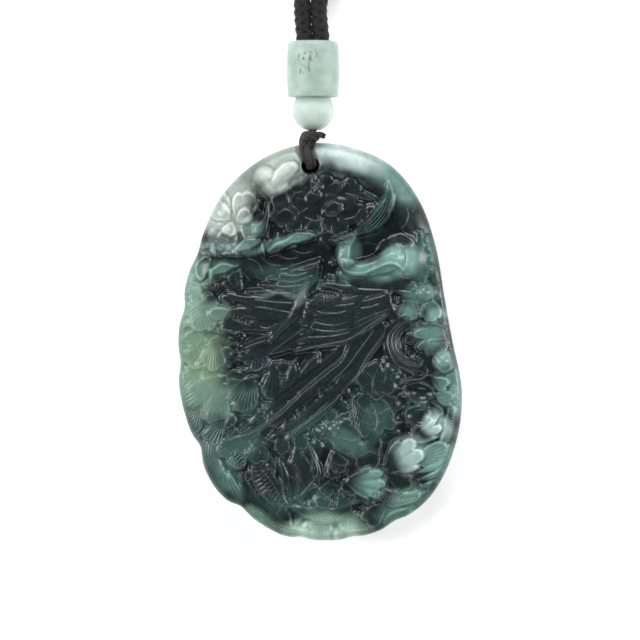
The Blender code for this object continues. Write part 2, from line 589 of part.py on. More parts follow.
def lead_routes():
    """The routes of the two strands, from inside the barrel to the coil."""
    mouth = barrel_start() + BARREL_LENGTH
    start = barrel_start() + CORD_START
    half = STRAND_SPACING / 2
    floor = CORD_DIAMETER / 2 + 0.05 * MM
    up = AXIS_HEIGHT
    left, right = BEAD_X - half, BEAD_X + half
    left_route = [(left, start, up), (left, (start + mouth) / 2, up), (left, mouth + 0.3 * MM, up),
                  (left - 0.35 * MM, mouth + 3.2 * MM, up - 0.4 * MM), (left - 0.5 * MM, 51.0 * MM, 2.6 * MM),
                  (left - 0.55 * MM, 54.5 * MM, 1.6 * MM), (left - 0.57 * MM, 58.5 * MM, floor),
                  (left - 0.57 * MM, 62.5 * MM, floor), (left - 0.57 * MM, 66.0 * MM, floor)]
    right_route = [(right, start, up), (right, (start + mouth) / 2, up), (right, mouth + 0.3 * MM, up),
                   (right - 0.35 * MM, mouth + 3.2 * MM, up - 0.4 * MM), (right + 0.2 * MM, 50.6 * MM, 2.7 * MM),
                   (right + 1.5 * MM, 53.4 * MM, 1.7 * MM), (right + 3.6 * MM, 55.6 * MM, floor),
                   (right + 5.9 * MM, 56.8 * MM, floor)]
    return {"cord_lead_left": left_route, "cord_lead_right": right_route}


def build_cord(parts):
    """The braided cord: two leads from the barrel and the outer shape of its coil."""
    braid = material("black_braid", "272727", 0.85)
    for name, route in lead_routes().items():
        lead = tube(name, smooth_path(route, 2), CORD_DIAMETER, parts)
        lead.data.materials.append(braid)
    low, high, edge = 0.05 * MM, COIL_HEIGHT, CORD_DIAMETER / 3
    profile = [*corner(COIL_OUTER - edge, high - edge, edge, 90, 2),
               *corner(COIL_OUTER - edge, low + edge, edge, 0, 2),
               (COIL_INNER + edge / 2, low), (COIL_INNER, low + edge / 2),
               (COIL_INNER, high - edge / 2), (COIL_INNER + edge / 2, high)]
    coil = turned("cord_coil", profile, 48, parts, "272727", 0.85)
    coil.rotation_euler = (0, 0, 0)
    coil.location = (*COIL_CENTRE, 0)


def main():
    """Build the plaque, its thread, its beads and its cord."""
    for old in list(bpy.data.objects):
        bpy.data.objects.remove(old)
    parts = bpy.data.collections.new("jade plaque")
    cutters = bpy.data.collections.new("cutters")
    for collection in (parts, cutters):
        bpy.context.scene.collection.children.link(collection)
    build_plaque(parts, cutters)
    build_thread(parts, cutters)
    build_round_bead(parts)
    build_barrel(parts)
    build_cord(parts)


ALONG_Y = Vector((0, 0, 1)).rotation_difference(Vector((0, 1, 0))).to_matrix()

main()
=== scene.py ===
"""Carved jade pendant, a phoenix among peonies, on a thread, two beads and a braided cord.

The pendant lies on its flat back, with +Z out of the carved face and +Y towards the cord.
Every shape is worked out here from sizes in millimetres, and every finish is procedural.
"""

from __future__ import annotations

import logging
import math
from collections.abc import Sequence
from dataclasses import dataclass, field
from enum import Enum

import bmesh
import bpy
import numpy as np
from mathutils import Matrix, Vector

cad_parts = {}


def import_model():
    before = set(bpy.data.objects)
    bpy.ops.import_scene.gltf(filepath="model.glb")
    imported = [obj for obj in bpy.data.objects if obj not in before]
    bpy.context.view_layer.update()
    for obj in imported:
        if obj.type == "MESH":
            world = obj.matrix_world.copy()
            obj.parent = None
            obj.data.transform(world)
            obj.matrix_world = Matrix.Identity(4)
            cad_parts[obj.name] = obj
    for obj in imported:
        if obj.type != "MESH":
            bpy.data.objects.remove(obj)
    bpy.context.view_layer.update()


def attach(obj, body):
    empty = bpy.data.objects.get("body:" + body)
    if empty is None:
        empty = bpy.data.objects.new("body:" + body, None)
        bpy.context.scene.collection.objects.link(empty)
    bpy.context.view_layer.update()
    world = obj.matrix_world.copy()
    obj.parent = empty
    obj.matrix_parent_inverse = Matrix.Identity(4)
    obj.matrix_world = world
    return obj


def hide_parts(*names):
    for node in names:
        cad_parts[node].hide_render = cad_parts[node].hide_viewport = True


log = logging.getLogger("jade_pendant")

MM = 0.001

Point = tuple[float, float, float]
Flat = tuple[float, float]
Tree = bpy.types.NodeTree
Socket = bpy.types.NodeSocket


# Helpers


def linear(colour: str) -> tuple[float, float, float]:
    """Turn an sRGB hex colour into linear light.

    Args:
        colour: Six hex digits.

    Returns:
        Red, green and blue, from 0 to 1.
    """
    channels = [int(colour[i:i + 2], 16) / 255 for i in (0, 2, 4)]
    return tuple(c / 12.92 if c <= 0.04045 else ((c + 0.055) / 1.055) ** 2.4 for c in channels)


def add_node(tree: Tree, kind: str, inputs: dict | None = None, **settings) -> bpy.types.Node:
    """Add a node with its settings and links.

    Args:
        tree: The tree that gets the node.
        kind: The node's type.
        inputs: Values, or outputs of other nodes, by the socket's name or number.
        **settings: The node's own settings.

    Returns:
        The new node.
    """
    node = tree.nodes.new(kind)
    for name, value in settings.items():
        setattr(node, name, value)
    fill(tree, node, inputs or {})
    return node


def fill(tree: Tree, node: bpy.types.Node, inputs: dict) -> None:
    """Set or link a node's inputs.

    Args:
        tree: The node's tree.
        node: The node.
        inputs: Values, or outputs of other nodes, by the socket's name or number.
    """
    for key, value in inputs.items():
        socket = node.inputs[key]
        if isinstance(value, Socket):
            tree.links.new(value, socket)
        else:
            socket.default_value = value


def compute(tree: Tree, operation: str, *values: float | Socket) -> Socket:
    """Add a maths node and give its result.

    Args:
        tree: The tree that gets the node.
        operation: What it works out.
        *values: Numbers, or outputs of other nodes.

    Returns:
        The node's output.
    """
    return add_node(tree, "ShaderNodeMath", dict(enumerate(values)), operation=operation).outputs[0]


def compute_vector(tree: Tree, operation: str, *values: Sequence[float] | Socket,
                   output: int = 0) -> Socket:
    """Add a vector maths node and give its result.

    Args:
        tree: The tree that gets the node.
        operation: What it works out. SCALE takes a vector and a number.
        *values: Vectors, or outputs of other nodes.
        output: The output's number, 0 for a vector and 1 for a single value.

    Returns:
        The node's output.
    """
    keys = (0, "Scale") if operation == "SCALE" else (0, 1, 2)
    return add_node(tree, "ShaderNodeVectorMath", dict(zip(keys, values)),
                    operation=operation).outputs[output]


def remap(tree: Tree, value: Socket, low: float, high: float, to_low: float = 0.0,
          to_high: float = 1.0) -> Socket:
    """Bring a value from one range to another, held within it.

    Args:
        tree: The tree that gets the node.
        value: The value.
        low: What becomes to_low.
        high: What becomes to_high.
        to_low: One end of the new range.
        to_high: Its other end.

    Returns:
        The new value.
    """
    return add_node(tree, "ShaderNodeMapRange", {
        "Value": value, "From Min": low, "From Max": high, "To Min": to_low,
        "To Max": to_high}).outputs["Result"]


def noise(tree: Tree, place: Socket, size_mm: float, detail: float, rough: float = 0.5) -> Socket:
    """Add soft noise of a real size.

    Args:
        tree: The tree that gets the node.
        place: Where, in metres.
        size_mm: The size of one cloud, in millimetres.
        detail: How many finer octaves it has.
        rough: How strong those are.

    Returns:
        The noise, from 0 to 1.
    """
    return add_node(tree, "ShaderNodeTexNoise", {
        "Vector": place, "Scale": 1 / (size_mm * MM), "Detail": detail, "Roughness": rough}).outputs["Fac"]


def blend(tree: Tree, share: Socket, first: str | Socket, second: str) -> Socket:
    """Mix two colours.

    Args:
        tree: The tree that gets the node.
        share: How much of the second shows.
        first: An sRGB hex colour, or another node's colour.
        second: An sRGB hex colour.

    Returns:
        The mixed colour.
    """
    under = (*linear(first), 1) if isinstance(first, str) else first
    return add_node(tree, "ShaderNodeMix", {
        "Factor": share, 6: under, 7: (*linear(second), 1)}, data_type="RGBA").outputs[2]


def new_material(name: str) -> tuple[bpy.types.Material, Tree, bpy.types.Node]:
    """Start a material.

    Args:
        name: Its name.

    Returns:
        The material, its tree and its shader.
    """
    material = bpy.data.materials.new(name)
    material.use_nodes = True
    return material, material.node_tree, material.node_tree.nodes["Principled BSDF"]


def object_place(tree: Tree) -> Socket:
    """Where a point is on its object, in metres."""
    return add_node(tree, "ShaderNodeTexCoord").outputs["Object"]


def read_value(tree: Tree, name: str) -> Socket:
    """A number that the mesh holds for each place."""
    return add_node(tree, "ShaderNodeAttribute", attribute_name=name).outputs["Fac"]


def ramp(x: np.ndarray) -> np.ndarray:
    """Smooth step from 0 to 1."""
    x = np.clip(x, 0.0, 1.0)
    return x * x * (3 - 2 * x)


def through(a: np.ndarray, b: np.ndarray, c: np.ndarray, d: np.ndarray, f: float | np.ndarray) -> np.ndarray:
    """Values on a smooth curve between b and c, with a before them and d after.

    Args:
        a: The value before.
        b: Where the stretch starts.
        c: Where it ends.
        d: The value after.
        f: How far along the stretch, from 0 to 1.

    Returns:
        The values there.
    """
    bend, twist = 2 * a - 5 * b + 4 * c - d, 3 * b - a - 3 * c + d
    return 0.5 * (2 * b + (c - a) * f + bend * f * f + twist * f ** 3)


def smooth_path(points: Sequence[Sequence[float]], steps: int = 8) -> list[np.ndarray]:
    """Points along a smooth curve through the given ones.

    Args:
        points: Two or three coordinates each.
        steps: How many points each stretch gets.

    Returns:
        The curve's points, the last one included.
    """
    rows = [np.array(p, float) for p in points]
    rows = [2 * rows[0] - rows[1], *rows, 2 * rows[-1] - rows[-2]]
    path = []
    for a, b, c, d in zip(rows, rows[1:], rows[2:], rows[3:]):
        for step in range(steps):
            path.append(through(a, b, c, d, step / steps))
    path.append(rows[-2])
    return path


def evened(values: np.ndarray, rows: int, times: int) -> np.ndarray:
    """Values of a sheet, each averaged with its neighbours a few times.

    Args:
        values: One value for each place of the sheet.
        rows: How many rows of places the sheet has.
        times: How often they are averaged.

    Returns:
        The averaged values.
    """
    even = values.reshape(rows, -1)
    for _ in range(times):
        even = np.pad(even, 1, mode="edge")
        even = (even[:-2] + 2 * even[1:-1] + even[2:]) / 4
        even = (even[:, :-2] + 2 * even[:, 1:-1] + even[:, 2:]) / 4
    return even.ravel()


def cloud_noise(x: np.ndarray, y: np.ndarray, size: float, seed: int) -> np.ndarray:
    """Soft noise in two octaves.

    Args:
        x: Places across, in millimetres.
        y: Places along, in millimetres.
        size: The width of a cloud, in millimetres.
        seed: Fixes the pattern.

    Returns:
        Values between about -1 and 1.
    """
    total = np.zeros_like(x)
    for octave, weight in ((1.0, 0.7), (2.1, 0.3)):
        table = np.random.default_rng(seed + int(octave * 10)).uniform(-1, 1, (64, 64))
        u, v = x / size * octave + 20, y / size * octave + 20
        i, j = np.floor(u).astype(int), np.floor(v).astype(int)
        f, g = ramp(u - i), ramp(v - j)
        low = table[i % 64, j % 64] * (1 - f) + table[(i + 1) % 64, j % 64] * f
        high = table[i % 64, (j + 1) % 64] * (1 - f) + table[(i + 1) % 64, (j + 1) % 64] * f
        total += weight * (low * (1 - g) + high * g)
    return total


def put(name: str, data: bpy.types.ID | None) -> bpy.types.Object:
    """Put a new object with this data in the scene."""
    made = bpy.data.objects.new(name, data)
    bpy.context.scene.collection.objects.link(made)
    return made


def add_object(name: str, mesh: bpy.types.Mesh, material: bpy.types.Material,
               smooth: float = 60.0) -> bpy.types.Object:
    """Put a finished mesh in the scene.

    Args:
        name: The piece's name.
        mesh: Its mesh, in metres and in its place.
        material: Its one material.
        smooth: The angle in degrees below which edges are shaded round.

    Returns:
        The new object, at the origin.
    """
    made = put(name, mesh)
    mesh.materials.clear()
    mesh.materials.append(material)
    mesh.shade_smooth()
    mesh.set_sharp_from_angle(angle=math.radians(smooth))
    return made


# Finishes


@dataclass(frozen=True)
class CarvedJade:
    """Dark green jadeite, carved, then polished with fine paste.

    The stone is nearly black where it is thick and milky green where it is pale or thin.
    The polish leaves thin bright lines on raised edges, here partly painted highlight in the colour. Lines
    finer than the mesh, whose places are about 0.17 mm apart, are drawn here as bump and painted highlight,
    and they are fewer than the real stone's.
    """

    name: str = "dark green jadeite, carved and polished"
    attribute: str = "jade_colour"
    roughness: tuple[float, float] = (0.19, 0.31)
    grain_mm: float = 1.1
    grain_tone: tuple[float, float] = (0.91, 1.10)
    wave_mm: float = 0.7
    wave_depth_mm: float = 0.005
    # How strongly rib crests are painted lighter and troughs darker, as painted shading.
    rib_painted_shading: float = 10.0
    line_mm: float = 0.09
    line_height: float = 0.5
    # The pale colour of drawn lines, a painted highlight along them.
    line_highlight_colour: str = "b9c9c6"
    scatter_mm: float = 1.3

    def build(self) -> bpy.types.Material:
        """Make the stone's material, with its colours and engraved ribs read from the mesh.

        Returns:
            The material.
        """
        material, tree, shader = new_material(self.name)
        place = object_place(tree)
        colour = add_node(tree, "ShaderNodeAttribute", attribute_name=self.attribute).outputs["Color"]
        crest = compute(tree, "COSINE", compute(tree, "MULTIPLY", read_value(tree, "rib_turns"), 2 * math.pi))
        ribs = compute(tree, "MULTIPLY", crest, read_value(tree, "rib_depth"))
        line = self.drawn_line(tree)
        grain = noise(tree, place, self.grain_mm, 5.0, 0.62)
        shade = remap(tree, grain, 0.3, 0.7, *self.grain_tone)
        # Rib crests are painted lighter and troughs darker, as painted shading, over the grain's random tone.
        grain_and_painted_rib_shade = compute_vector(tree, "SCALE", colour,
                               compute(tree, "MULTIPLY_ADD", ribs, self.rib_painted_shading, shade))
        # Drawn lines are painted in a pale colour, as a painted highlight, besides their bump.
        lit = compute_vector(tree, "MULTIPLY_ADD", linear(self.line_highlight_colour), line, grain_and_painted_rib_shade)
        wave = noise(tree, place, self.wave_mm, 2.0)
        relief = compute(tree, "MULTIPLY_ADD", wave, self.wave_depth_mm, ribs)
        height = compute(tree, "MULTIPLY_ADD", line, self.line_height, relief)
        bump = add_node(tree, "ShaderNodeBump", {"Height": height, "Strength": 1.0, "Distance": MM})
        fill(tree, shader, {
            "Base Color": lit, "Roughness": remap(tree, grain, 0.3, 0.7, *self.roughness),
            "Normal": bump.outputs["Normal"], "IOR": 1.66, "Specular IOR Level": 0.34,
            "Subsurface Weight": 0.35,
            "Subsurface Radius": (0.8, 1.0, 0.92), "Subsurface Scale": self.scatter_mm * MM})
        return material

    def drawn_line(self, tree: Tree) -> Socket:
        """A thin rounded line wherever the mesh says that one is near, finer than the mesh itself.

        Args:
            tree: The material's tree.

        Returns:
            The line's height, in millimetres, which also sets the strength of its painted highlight.
        """
        side = read_value(tree, "line_side")
        fall = compute(tree, "MULTIPLY", compute(tree, "MULTIPLY", side, side), -1 / self.line_mm ** 2)
        return compute(tree, "MULTIPLY", compute(tree, "EXPONENT", fall), read_value(tree, "line_height"))


@dataclass(frozen=True)
class BeadJade:
    """Pale jadeite, turned on a wheel and tumbled to a soft, waxy gloss.

    It is cloudy and lets light in, with a few dark green specks that run in short threads.
    """

    name: str
    body: str
    cloud: str
    speck: str
    speck_share: float
    speck_middle: Point = (-2.0, 41.2, 7.6)
    patch_mm: Flat = (0.8, 4.2)
    patch_share: Flat = (0.72, 0.42)
    cloud_mm: float = 2.4
    speck_mm: float = 0.5
    scatter_mm: float = 2.4

    def build(self) -> bpy.types.Material:
        """Make the bead's material.

        Returns:
            The material.
        """
        material, tree, shader = new_material(self.name)
        place = object_place(tree)
        cloud = noise(tree, place, self.cloud_mm, 3.0)
        base = blend(tree, remap(tree, cloud, 0.35, 0.65), self.body, self.cloud)
        stretched = add_node(tree, "ShaderNodeMapping", {
            "Vector": place, "Scale": (1.0, 0.55, 1.0), "Rotation": (0.0, 0.0, 0.5)}).outputs["Vector"]
        speck = noise(tree, stretched, self.speck_mm, 3.0, 0.7)
        middle = tuple(c * MM for c in self.speck_middle)
        away = compute_vector(tree, "DISTANCE", place, middle, output=1)
        near, far = self.patch_mm
        patch = remap(tree, away, near * MM, far * MM, *self.patch_share)
        both = compute(tree, "ADD", speck, patch)
        spots = remap(tree, both, 1.22 - self.speck_share, 1.34 - self.speck_share, 0.0, 0.75)
        fill(tree, shader, {
            "Base Color": blend(tree, spots, base, self.speck),
            "Roughness": remap(tree, cloud, 0.3, 0.7, 0.34, 0.46),
            "IOR": 1.66, "Specular IOR Level": 0.25, "Subsurface Weight": 0.8,
            "Subsurface Radius": (0.85, 1.0, 0.95),
            "Subsurface Scale": self.scatter_mm * MM})
        return material


@dataclass(frozen=True)
class WaxedThread:
    """Dyed polyester thread, twisted from filaments and lightly waxed.

    It is dull, with a faint sheen and slanting filament lines on every strand. Real strands have
    dozens of filaments each, and only a few broader lines stand for them here.
    """

    name: str
    dark: str
    light: str
    filaments: int
    lay_mm: float
    fuzz_mm: float = 0.35
    filament_depth_mm: float = 0.06
    roughness: float = 0.62

    def build(self) -> bpy.types.Material:
        """Make the thread's material, its lines following the strand.

        Returns:
            The material.
        """
        material, tree, shader = new_material(self.name)
        turns = compute(tree, "MULTIPLY_ADD", read_value(tree, "strand_along"), 1 / (self.lay_mm * MM),
                        read_value(tree, "strand_around"))
        lines = compute(tree, "SINE", compute(tree, "MULTIPLY", turns, 2 * math.pi * self.filaments))
        fuzz = noise(tree, object_place(tree), self.fuzz_mm, 3.0, 0.7)
        both = compute(tree, "MULTIPLY_ADD", lines, 0.28, fuzz)
        # Partly painted shading: filament crests are painted lighter and grooves darker; the fuzz is random
        # tone.
        colour = blend(tree, remap(tree, both, 0.1, 0.95), self.dark, self.light)
        bump = add_node(tree, "ShaderNodeBump", {
            "Height": both, "Strength": 0.7, "Distance": self.filament_depth_mm * MM})
        fill(tree, shader, {
            "Base Color": colour, "Normal": bump.outputs["Normal"], "Roughness": self.roughness,
            "Sheen Weight": 0.25, "Sheen Roughness": 0.4, "Specular IOR Level": 0.35})
        return material


# Relief carving


def turned(x: np.ndarray, y: np.ndarray, degrees: float) -> tuple[np.ndarray, np.ndarray]:
    """The same places, as seen from axes that are turned by an angle."""
    c, s = math.cos(math.radians(degrees)), math.sin(math.radians(degrees))
    return x * c + y * s, y * c - x * s


@dataclass(frozen=True)
class Beside:
    """Where places lie beside a path: along, as a share of it, across with a sign, and how near.

    The path's half width at each is kept too, and how near is counted in such half widths.
    """

    along: np.ndarray
    share: np.ndarray
    across: np.ndarray
    half: np.ndarray
    near: np.ndarray

    @property
    def taper(self) -> np.ndarray:
        """How full a line is there that thins out towards its ends."""
        return np.clip(8.8 * self.share * (1 - self.share), 0, 1) ** 0.6


def lay_beside(path: np.ndarray, x: np.ndarray, y: np.ndarray, widths: Sequence[float] = (1.0,)) -> Beside:
    """Find the nearest part of a path for each place.

    Args:
        path: The path's points, in millimetres.
        x: Places across.
        y: Places along.
        widths: The path's half widths, spread evenly from its start to its end.

    Returns:
        Where the places lie.
    """
    near = np.full(len(x), 1e9)
    along, share, across = np.zeros(len(x)), np.zeros(len(x)), np.zeros(len(x))
    half = np.ones(len(x))
    marks = np.linspace(0, 1, len(widths))
    run = 0.0
    for number, (a, b) in enumerate(zip(path, path[1:])):
        step = b - a
        size = max(float(np.hypot(*step)), 1e-6)
        f = np.clip(((x - a[0]) * step[0] + (y - a[1]) * step[1]) / size ** 2, 0, 1)
        ex, ey = x - a[0] - f * step[0], y - a[1] - f * step[1]
        away = np.hypot(ex, ey)
        place = (number + f) / (len(path) - 1)
        width = np.interp(place, marks, widths)
        nearer = away / width < near
        near = np.where(nearer, away / width, near)
        across = np.where(nearer, away * np.sign(step[0] * ey - step[1] * ex), across)
        along = np.where(nearer, run + f * size, along)
        share = np.where(nearer, place, share)
        half = np.where(nearer, width, half)
        run += size
    return Beside(along, share, across, half, near)


@dataclass
class Relief:
    """The heights over the flat back, in millimetres, at the given places."""

    x: np.ndarray
    y: np.ndarray
    width: float
    length: float
    rows: int = 1
    edge_height: float = 4.7
    dome_rise: float = 1.7
    rim_rise: float = 0.9
    recess: float = 0.6

    def __post_init__(self) -> None:
        """Lay the blank's ground, sunk where it will be carved."""
        self.turn = np.arctan2(self.y / self.length, self.x / self.width)
        self.reach = 2 * np.hypot(self.x / self.width, self.y / self.length) / outline_share(self.turn)
        self.ground = self.edge_height + self.dome_rise * np.clip(1 - self.reach ** 2.6, 0, 1) ** 0.8
        top = ramp((np.sin(self.turn) - 0.32) / 0.3) * ramp((self.reach - 0.80) / 0.10)
        side = ramp((np.cos(self.turn) - 0.3) / 0.3) * ramp((self.reach - 0.945) / 0.035)
        self.bare, self.smooth_side = np.maximum(top, side), side
        self.height = self.ground - self.recess * (1 - self.bare) * ramp((1.02 - self.reach) / 0.10)
        self.rim = self.rim_rise * top * ramp((1.06 - self.reach) / 0.16)
        self.rib_turns = np.zeros_like(self.x)
        self.rib_depth = np.zeros_like(self.x)
        self.line_side = np.full_like(self.x, 9.0)
        self.line_height = np.zeros_like(self.x)

    def near(self, x: np.ndarray, y: np.ndarray, margin: float) -> np.ndarray:
        """The places within a margin of a form's box."""
        return np.flatnonzero((self.x > x.min() - margin) & (self.x < x.max() + margin)
                              & (self.y > y.min() - margin) & (self.y < y.max() + margin))

    def around(self, x: float, y: float, margin: float) -> tuple[np.ndarray, np.ndarray, np.ndarray]:
        """Find the places near a point.

        Args:
            x: The point across, in millimetres.
            y: The point along, in millimetres.
            margin: How far off it they may be.

        Returns:
            Their numbers, and how far each is off the point across and along.
        """
        i = self.near(np.array([x]), np.array([y]), margin)
        return i, self.x[i] - x, self.y[i] - y

    def lay(self, places: np.ndarray, body: np.ndarray, gap: np.ndarray, edge: float, trench: float,
            ribs: tuple[np.ndarray, np.ndarray] | None = None, wide: float = 0.3, sink: float = 1.6) -> None:
        """Put a form on what is there.

        Args:
            places: The places that it may touch.
            body: Its height there.
            gap: How far inside its outline each place is.
            edge: How wide its edge is.
            trench: How deep the cut round it is.
            ribs: The turns and depths of its engraved ribs, if it has any.
            wide: How wide that cut is.
            sink: How far what lies under it may press through.
        """
        old = self.height[places]
        cover = ramp(gap / edge + 0.5)
        cut = trench * np.exp(-np.maximum(-gap, 0) / wide) * ramp(-gap / edge + 0.5)
        self.height[places] = cover * np.maximum(body, old - sink) + (1 - cover) * (old - cut)
        inner = gap > 0
        turns, depth = ribs or (np.zeros_like(body), np.zeros_like(body))
        self.rib_turns[places] = np.where(inner, turns, self.rib_turns[places])
        self.rib_depth[places] = np.where(inner, depth * ramp((gap - 0.15) / 0.3), self.rib_depth[places])
        self.line_height[places] = self.line_height[places] * (1 - cover)

    def settle(self, share: float) -> None:
        """Bring all that is carved so far nearer to the ground, and off the smooth rim."""
        self.height = self.ground + (self.height - self.ground) * share * (1 - self.bare)
        self.rib_depth = self.rib_depth * (1 - self.bare)

    def draw(self, places: np.ndarray, side: np.ndarray, height: np.ndarray) -> None:
        """Note a thin line, where it is nearer than those before it.

        Args:
            places: The places that it may touch.
            side: How far each is from the line, with its sign for the side.
            height: How high the line stands there.
        """
        share = height * ramp((0.42 - np.abs(side)) / 0.2)
        nearer = (np.abs(side) < np.abs(self.line_side[places])) | (self.line_height[places] <= 0.001)
        nearer = nearer & (share > 0.001)
        self.line_side[places] = np.where(nearer, side, self.line_side[places])
        self.line_height[places] = np.where(nearer, share, self.line_height[places])

    def merge(self, places: np.ndarray, body: np.ndarray, soft: float) -> None:
        """Melt a rounded form into what is there, with a soft valley between.

        Args:
            places: The places that it may touch.
            body: Its height there.
            soft: How high the valley is filled, in millimetres.
        """
        old = self.height[places]
        mix = np.clip(0.5 + 0.5 * (body - old) / soft, 0, 1)
        self.height[places] = old * (1 - mix) + body * mix + soft * mix * (1 - mix)
        self.rib_depth[places] = self.rib_depth[places] * (1 - mix)
        self.line_height[places] = self.line_height[places] * (1 - mix)


@dataclass(frozen=True)
class Petal:
    """A petal or lobed leaf that opens from its foot to a scalloped, rolled rim."""

    x: float
    y: float
    facing: float
    spread: float
    reach: float
    lobes: int = 3
    lift: float = 0.6
    rays: int = 14
    depth: float = 0.014
    lip: float = 0.08
    notch: float = 0.13
    trench: float = 0.12
    wave: float = 0.14
    rim_line: float = 0.13

    def carve(self, relief: Relief) -> None:
        """Cut the petal into the relief, and draw its rim line with a painted highlight, strongest where it
        faces down.

        Args:
            relief: The relief.
        """
        i, dx, dy = relief.around(self.x, self.y, self.reach * 1.2)
        r = np.hypot(dx, dy)
        spread = math.radians(self.spread)
        off = np.angle(np.exp(1j * (np.arctan2(dy, dx) - math.radians(self.facing))))
        side = np.clip(np.abs(off) / spread, 0, 1)
        wave = np.abs(np.cos(0.5 * math.pi * (self.lobes * off / spread + self.lobes - 1)))
        shape = (1 - side ** 2.6) ** 0.62 + 0.02
        rim = self.reach * shape * (1 - self.notch * (1 - wave) ** 1.6)
        slope = self.reach * 1.6 * side ** 1.6 / np.maximum((1 - side ** 2.6) ** 0.38, 0.08) / spread
        gap = (rim - r) / np.sqrt(1 + (slope / np.maximum(r, 0.4)) ** 2)
        gap = np.where(np.abs(off) > spread, -np.maximum(r, 0.05), gap)
        along = np.clip(r / np.maximum(rim, 0.05), 0, 1)
        body = relief.ground[i] + self.lift * (0.15 + 0.95 * np.sin(along * math.pi * 0.56))
        body += self.wave * wave * along ** 2 - 0.5 * self.lift * side ** 2
        body += self.lip * np.exp(-((gap - 0.28) / 0.20) ** 2)
        turns = 0.5 * self.rays * off / spread * (1 + 0.1 * along)
        depth = (self.depth if self.rays else 0.0) * ramp((along - 0.22) / 0.3)
        relief.lay(i, body, gap, 0.36, self.trench, (turns, depth))
        # The rim line's bump and painted highlight are strongest where the rim faces down: painted highlight
        # on the lower rims.
        down = ramp(0.35 - dy / self.reach)
        relief.draw(i, gap - 0.18, self.rim_line * (0.25 + 0.75 * down) * ramp((along - 0.45) / 0.3))


class Cut(Enum):
    """How the surface of a band is cut."""

    PLAIN = "plain"
    LEAF = "leaf"
    LINES = "lines"
    HATCH = "hatch"
    FEATHER = "feather"


@dataclass(frozen=True)
class Band:
    """A leaf, feather, stem or neck along a curve, round or tilted across."""

    widths: tuple[float, ...]
    lift: float
    points: tuple[Flat, ...]
    cut: Cut = Cut.PLAIN
    pitch: float = 0.5
    depth: float = 0.012
    lip: float = 0.07
    crown: float = 0.3
    tilt: float = 0.0
    edge: float = 0.34
    trench: float = 0.10
    flat: bool = False

    def carve(self, relief: Relief) -> None:
        """Cut the band into the relief, or only engrave its lines on what is there.

        Args:
            relief: The relief.
        """
        path = np.array(smooth_path(self.points, 8))
        i = relief.near(path[:, 0], path[:, 1], max(self.widths) + 1.2)
        spot = lay_beside(path, relief.x[i], relief.y[i], self.widths)
        across, half = spot.across, spot.half
        t = np.clip(across / half, -1.2, 1.2)
        arch = np.clip(1 - t * t, 0, 1)
        body = relief.ground[i] + self.lift + self.crown * half * arch + self.tilt * t
        if self.cut is Cut.LEAF:
            body -= 0.08 * np.exp(-(across / 0.18) ** 2)
        if self.cut is Cut.FEATHER:
            body += 0.08 * np.exp(-(across / 0.18) ** 2)
        gap = half - np.abs(across)
        body += self.lip * np.exp(-((gap - 0.26) / 0.19) ** 2)
        depth = np.full(len(i), 0.0 if self.cut is Cut.PLAIN else self.depth)
        turns = self.turns(spot.along, across)
        if self.flat:
            inner = gap > 0
            relief.rib_turns[i] = np.where(inner, turns, relief.rib_turns[i])
            relief.rib_depth[i] = np.where(inner, depth * ramp(gap / 0.3), relief.rib_depth[i])
            return
        relief.lay(i, body, gap, self.edge, self.trench, (turns, depth))

    def turns(self, along: np.ndarray, across: np.ndarray) -> np.ndarray:
        """Where the band's engraved lines run.

        Args:
            along: Places along, in millimetres.
            across: Places across, in millimetres.

        Returns:
            The count of lines up to each place.
        """
        if self.cut is Cut.HATCH:
            return along / self.pitch
        if self.cut is Cut.LEAF:
            return (along - 0.8 * np.abs(across)) / self.pitch
        if self.cut is Cut.FEATHER:
            return (0.35 * along + 1.0 * np.abs(across)) / self.pitch
        return across / self.pitch


@dataclass(frozen=True)
class Lump:
    """A rounded bud, pearl or blob, melted into what is under it."""

    x: float
    y: float
    radius: float
    lift: float = 0.5
    squash: float = 0.5
    soft: float = 0.35

    def carve(self, relief: Relief) -> None:
        """Raise the lump on the relief.

        Args:
            relief: The relief.
        """
        i, dx, dy = relief.around(self.x, self.y, self.radius * 1.3)
        r = np.hypot(dx, dy) / self.radius
        body = relief.ground[i] + self.lift + self.squash * self.radius * (1.0 - 1.3 * r ** 2.2)
        relief.merge(i, body, self.soft)


@dataclass(frozen=True)
class Cup:
    """A hollow petal with a raised lip."""

    x: float
    y: float
    half_width: float
    half_length: float
    turn: float = 0.0
    lift: float = 0.8
    hollow: float = 0.9
    lip: float = 0.10
    edge: float = 0.34

    def carve(self, relief: Relief) -> None:
        """Cut the cup into the relief.

        Args:
            relief: The relief.
        """
        i, dx, dy = relief.around(self.x, self.y, max(self.half_width, self.half_length) + 1)
        u, v = turned(dx, dy, self.turn)
        u, v = u / self.half_width, v / self.half_length
        e = np.hypot(u, v)
        e = e * (1 + 0.06 * np.sin(3 * np.arctan2(v, u) + self.x))
        body = relief.ground[i] + self.lift + self.lip * np.exp(-((e - 0.88) / 0.10) ** 2)
        body -= self.hollow * np.clip(1 - (e / 0.84) ** 2, 0, 1) ** 0.8
        relief.lay(i, body, (1 - e) * min(self.half_width, self.half_length), self.edge, 0.25)


@dataclass(frozen=True)
class Ridge:
    """A thin raised line, or a cut one where its height is below nought."""

    width: float
    height: float
    points: tuple[Flat, ...]

    def carve(self, relief: Relief) -> None:
        """Draw the line on what is there.

        Args:
            relief: The relief.
        """
        path = np.array(smooth_path(self.points, 6))
        i = relief.near(path[:, 0], path[:, 1], self.width * 2.5)
        spot = lay_beside(path, relief.x[i], relief.y[i])
        relief.height[i] += self.height * spot.taper * np.exp(-(spot.near / self.width) ** 2)


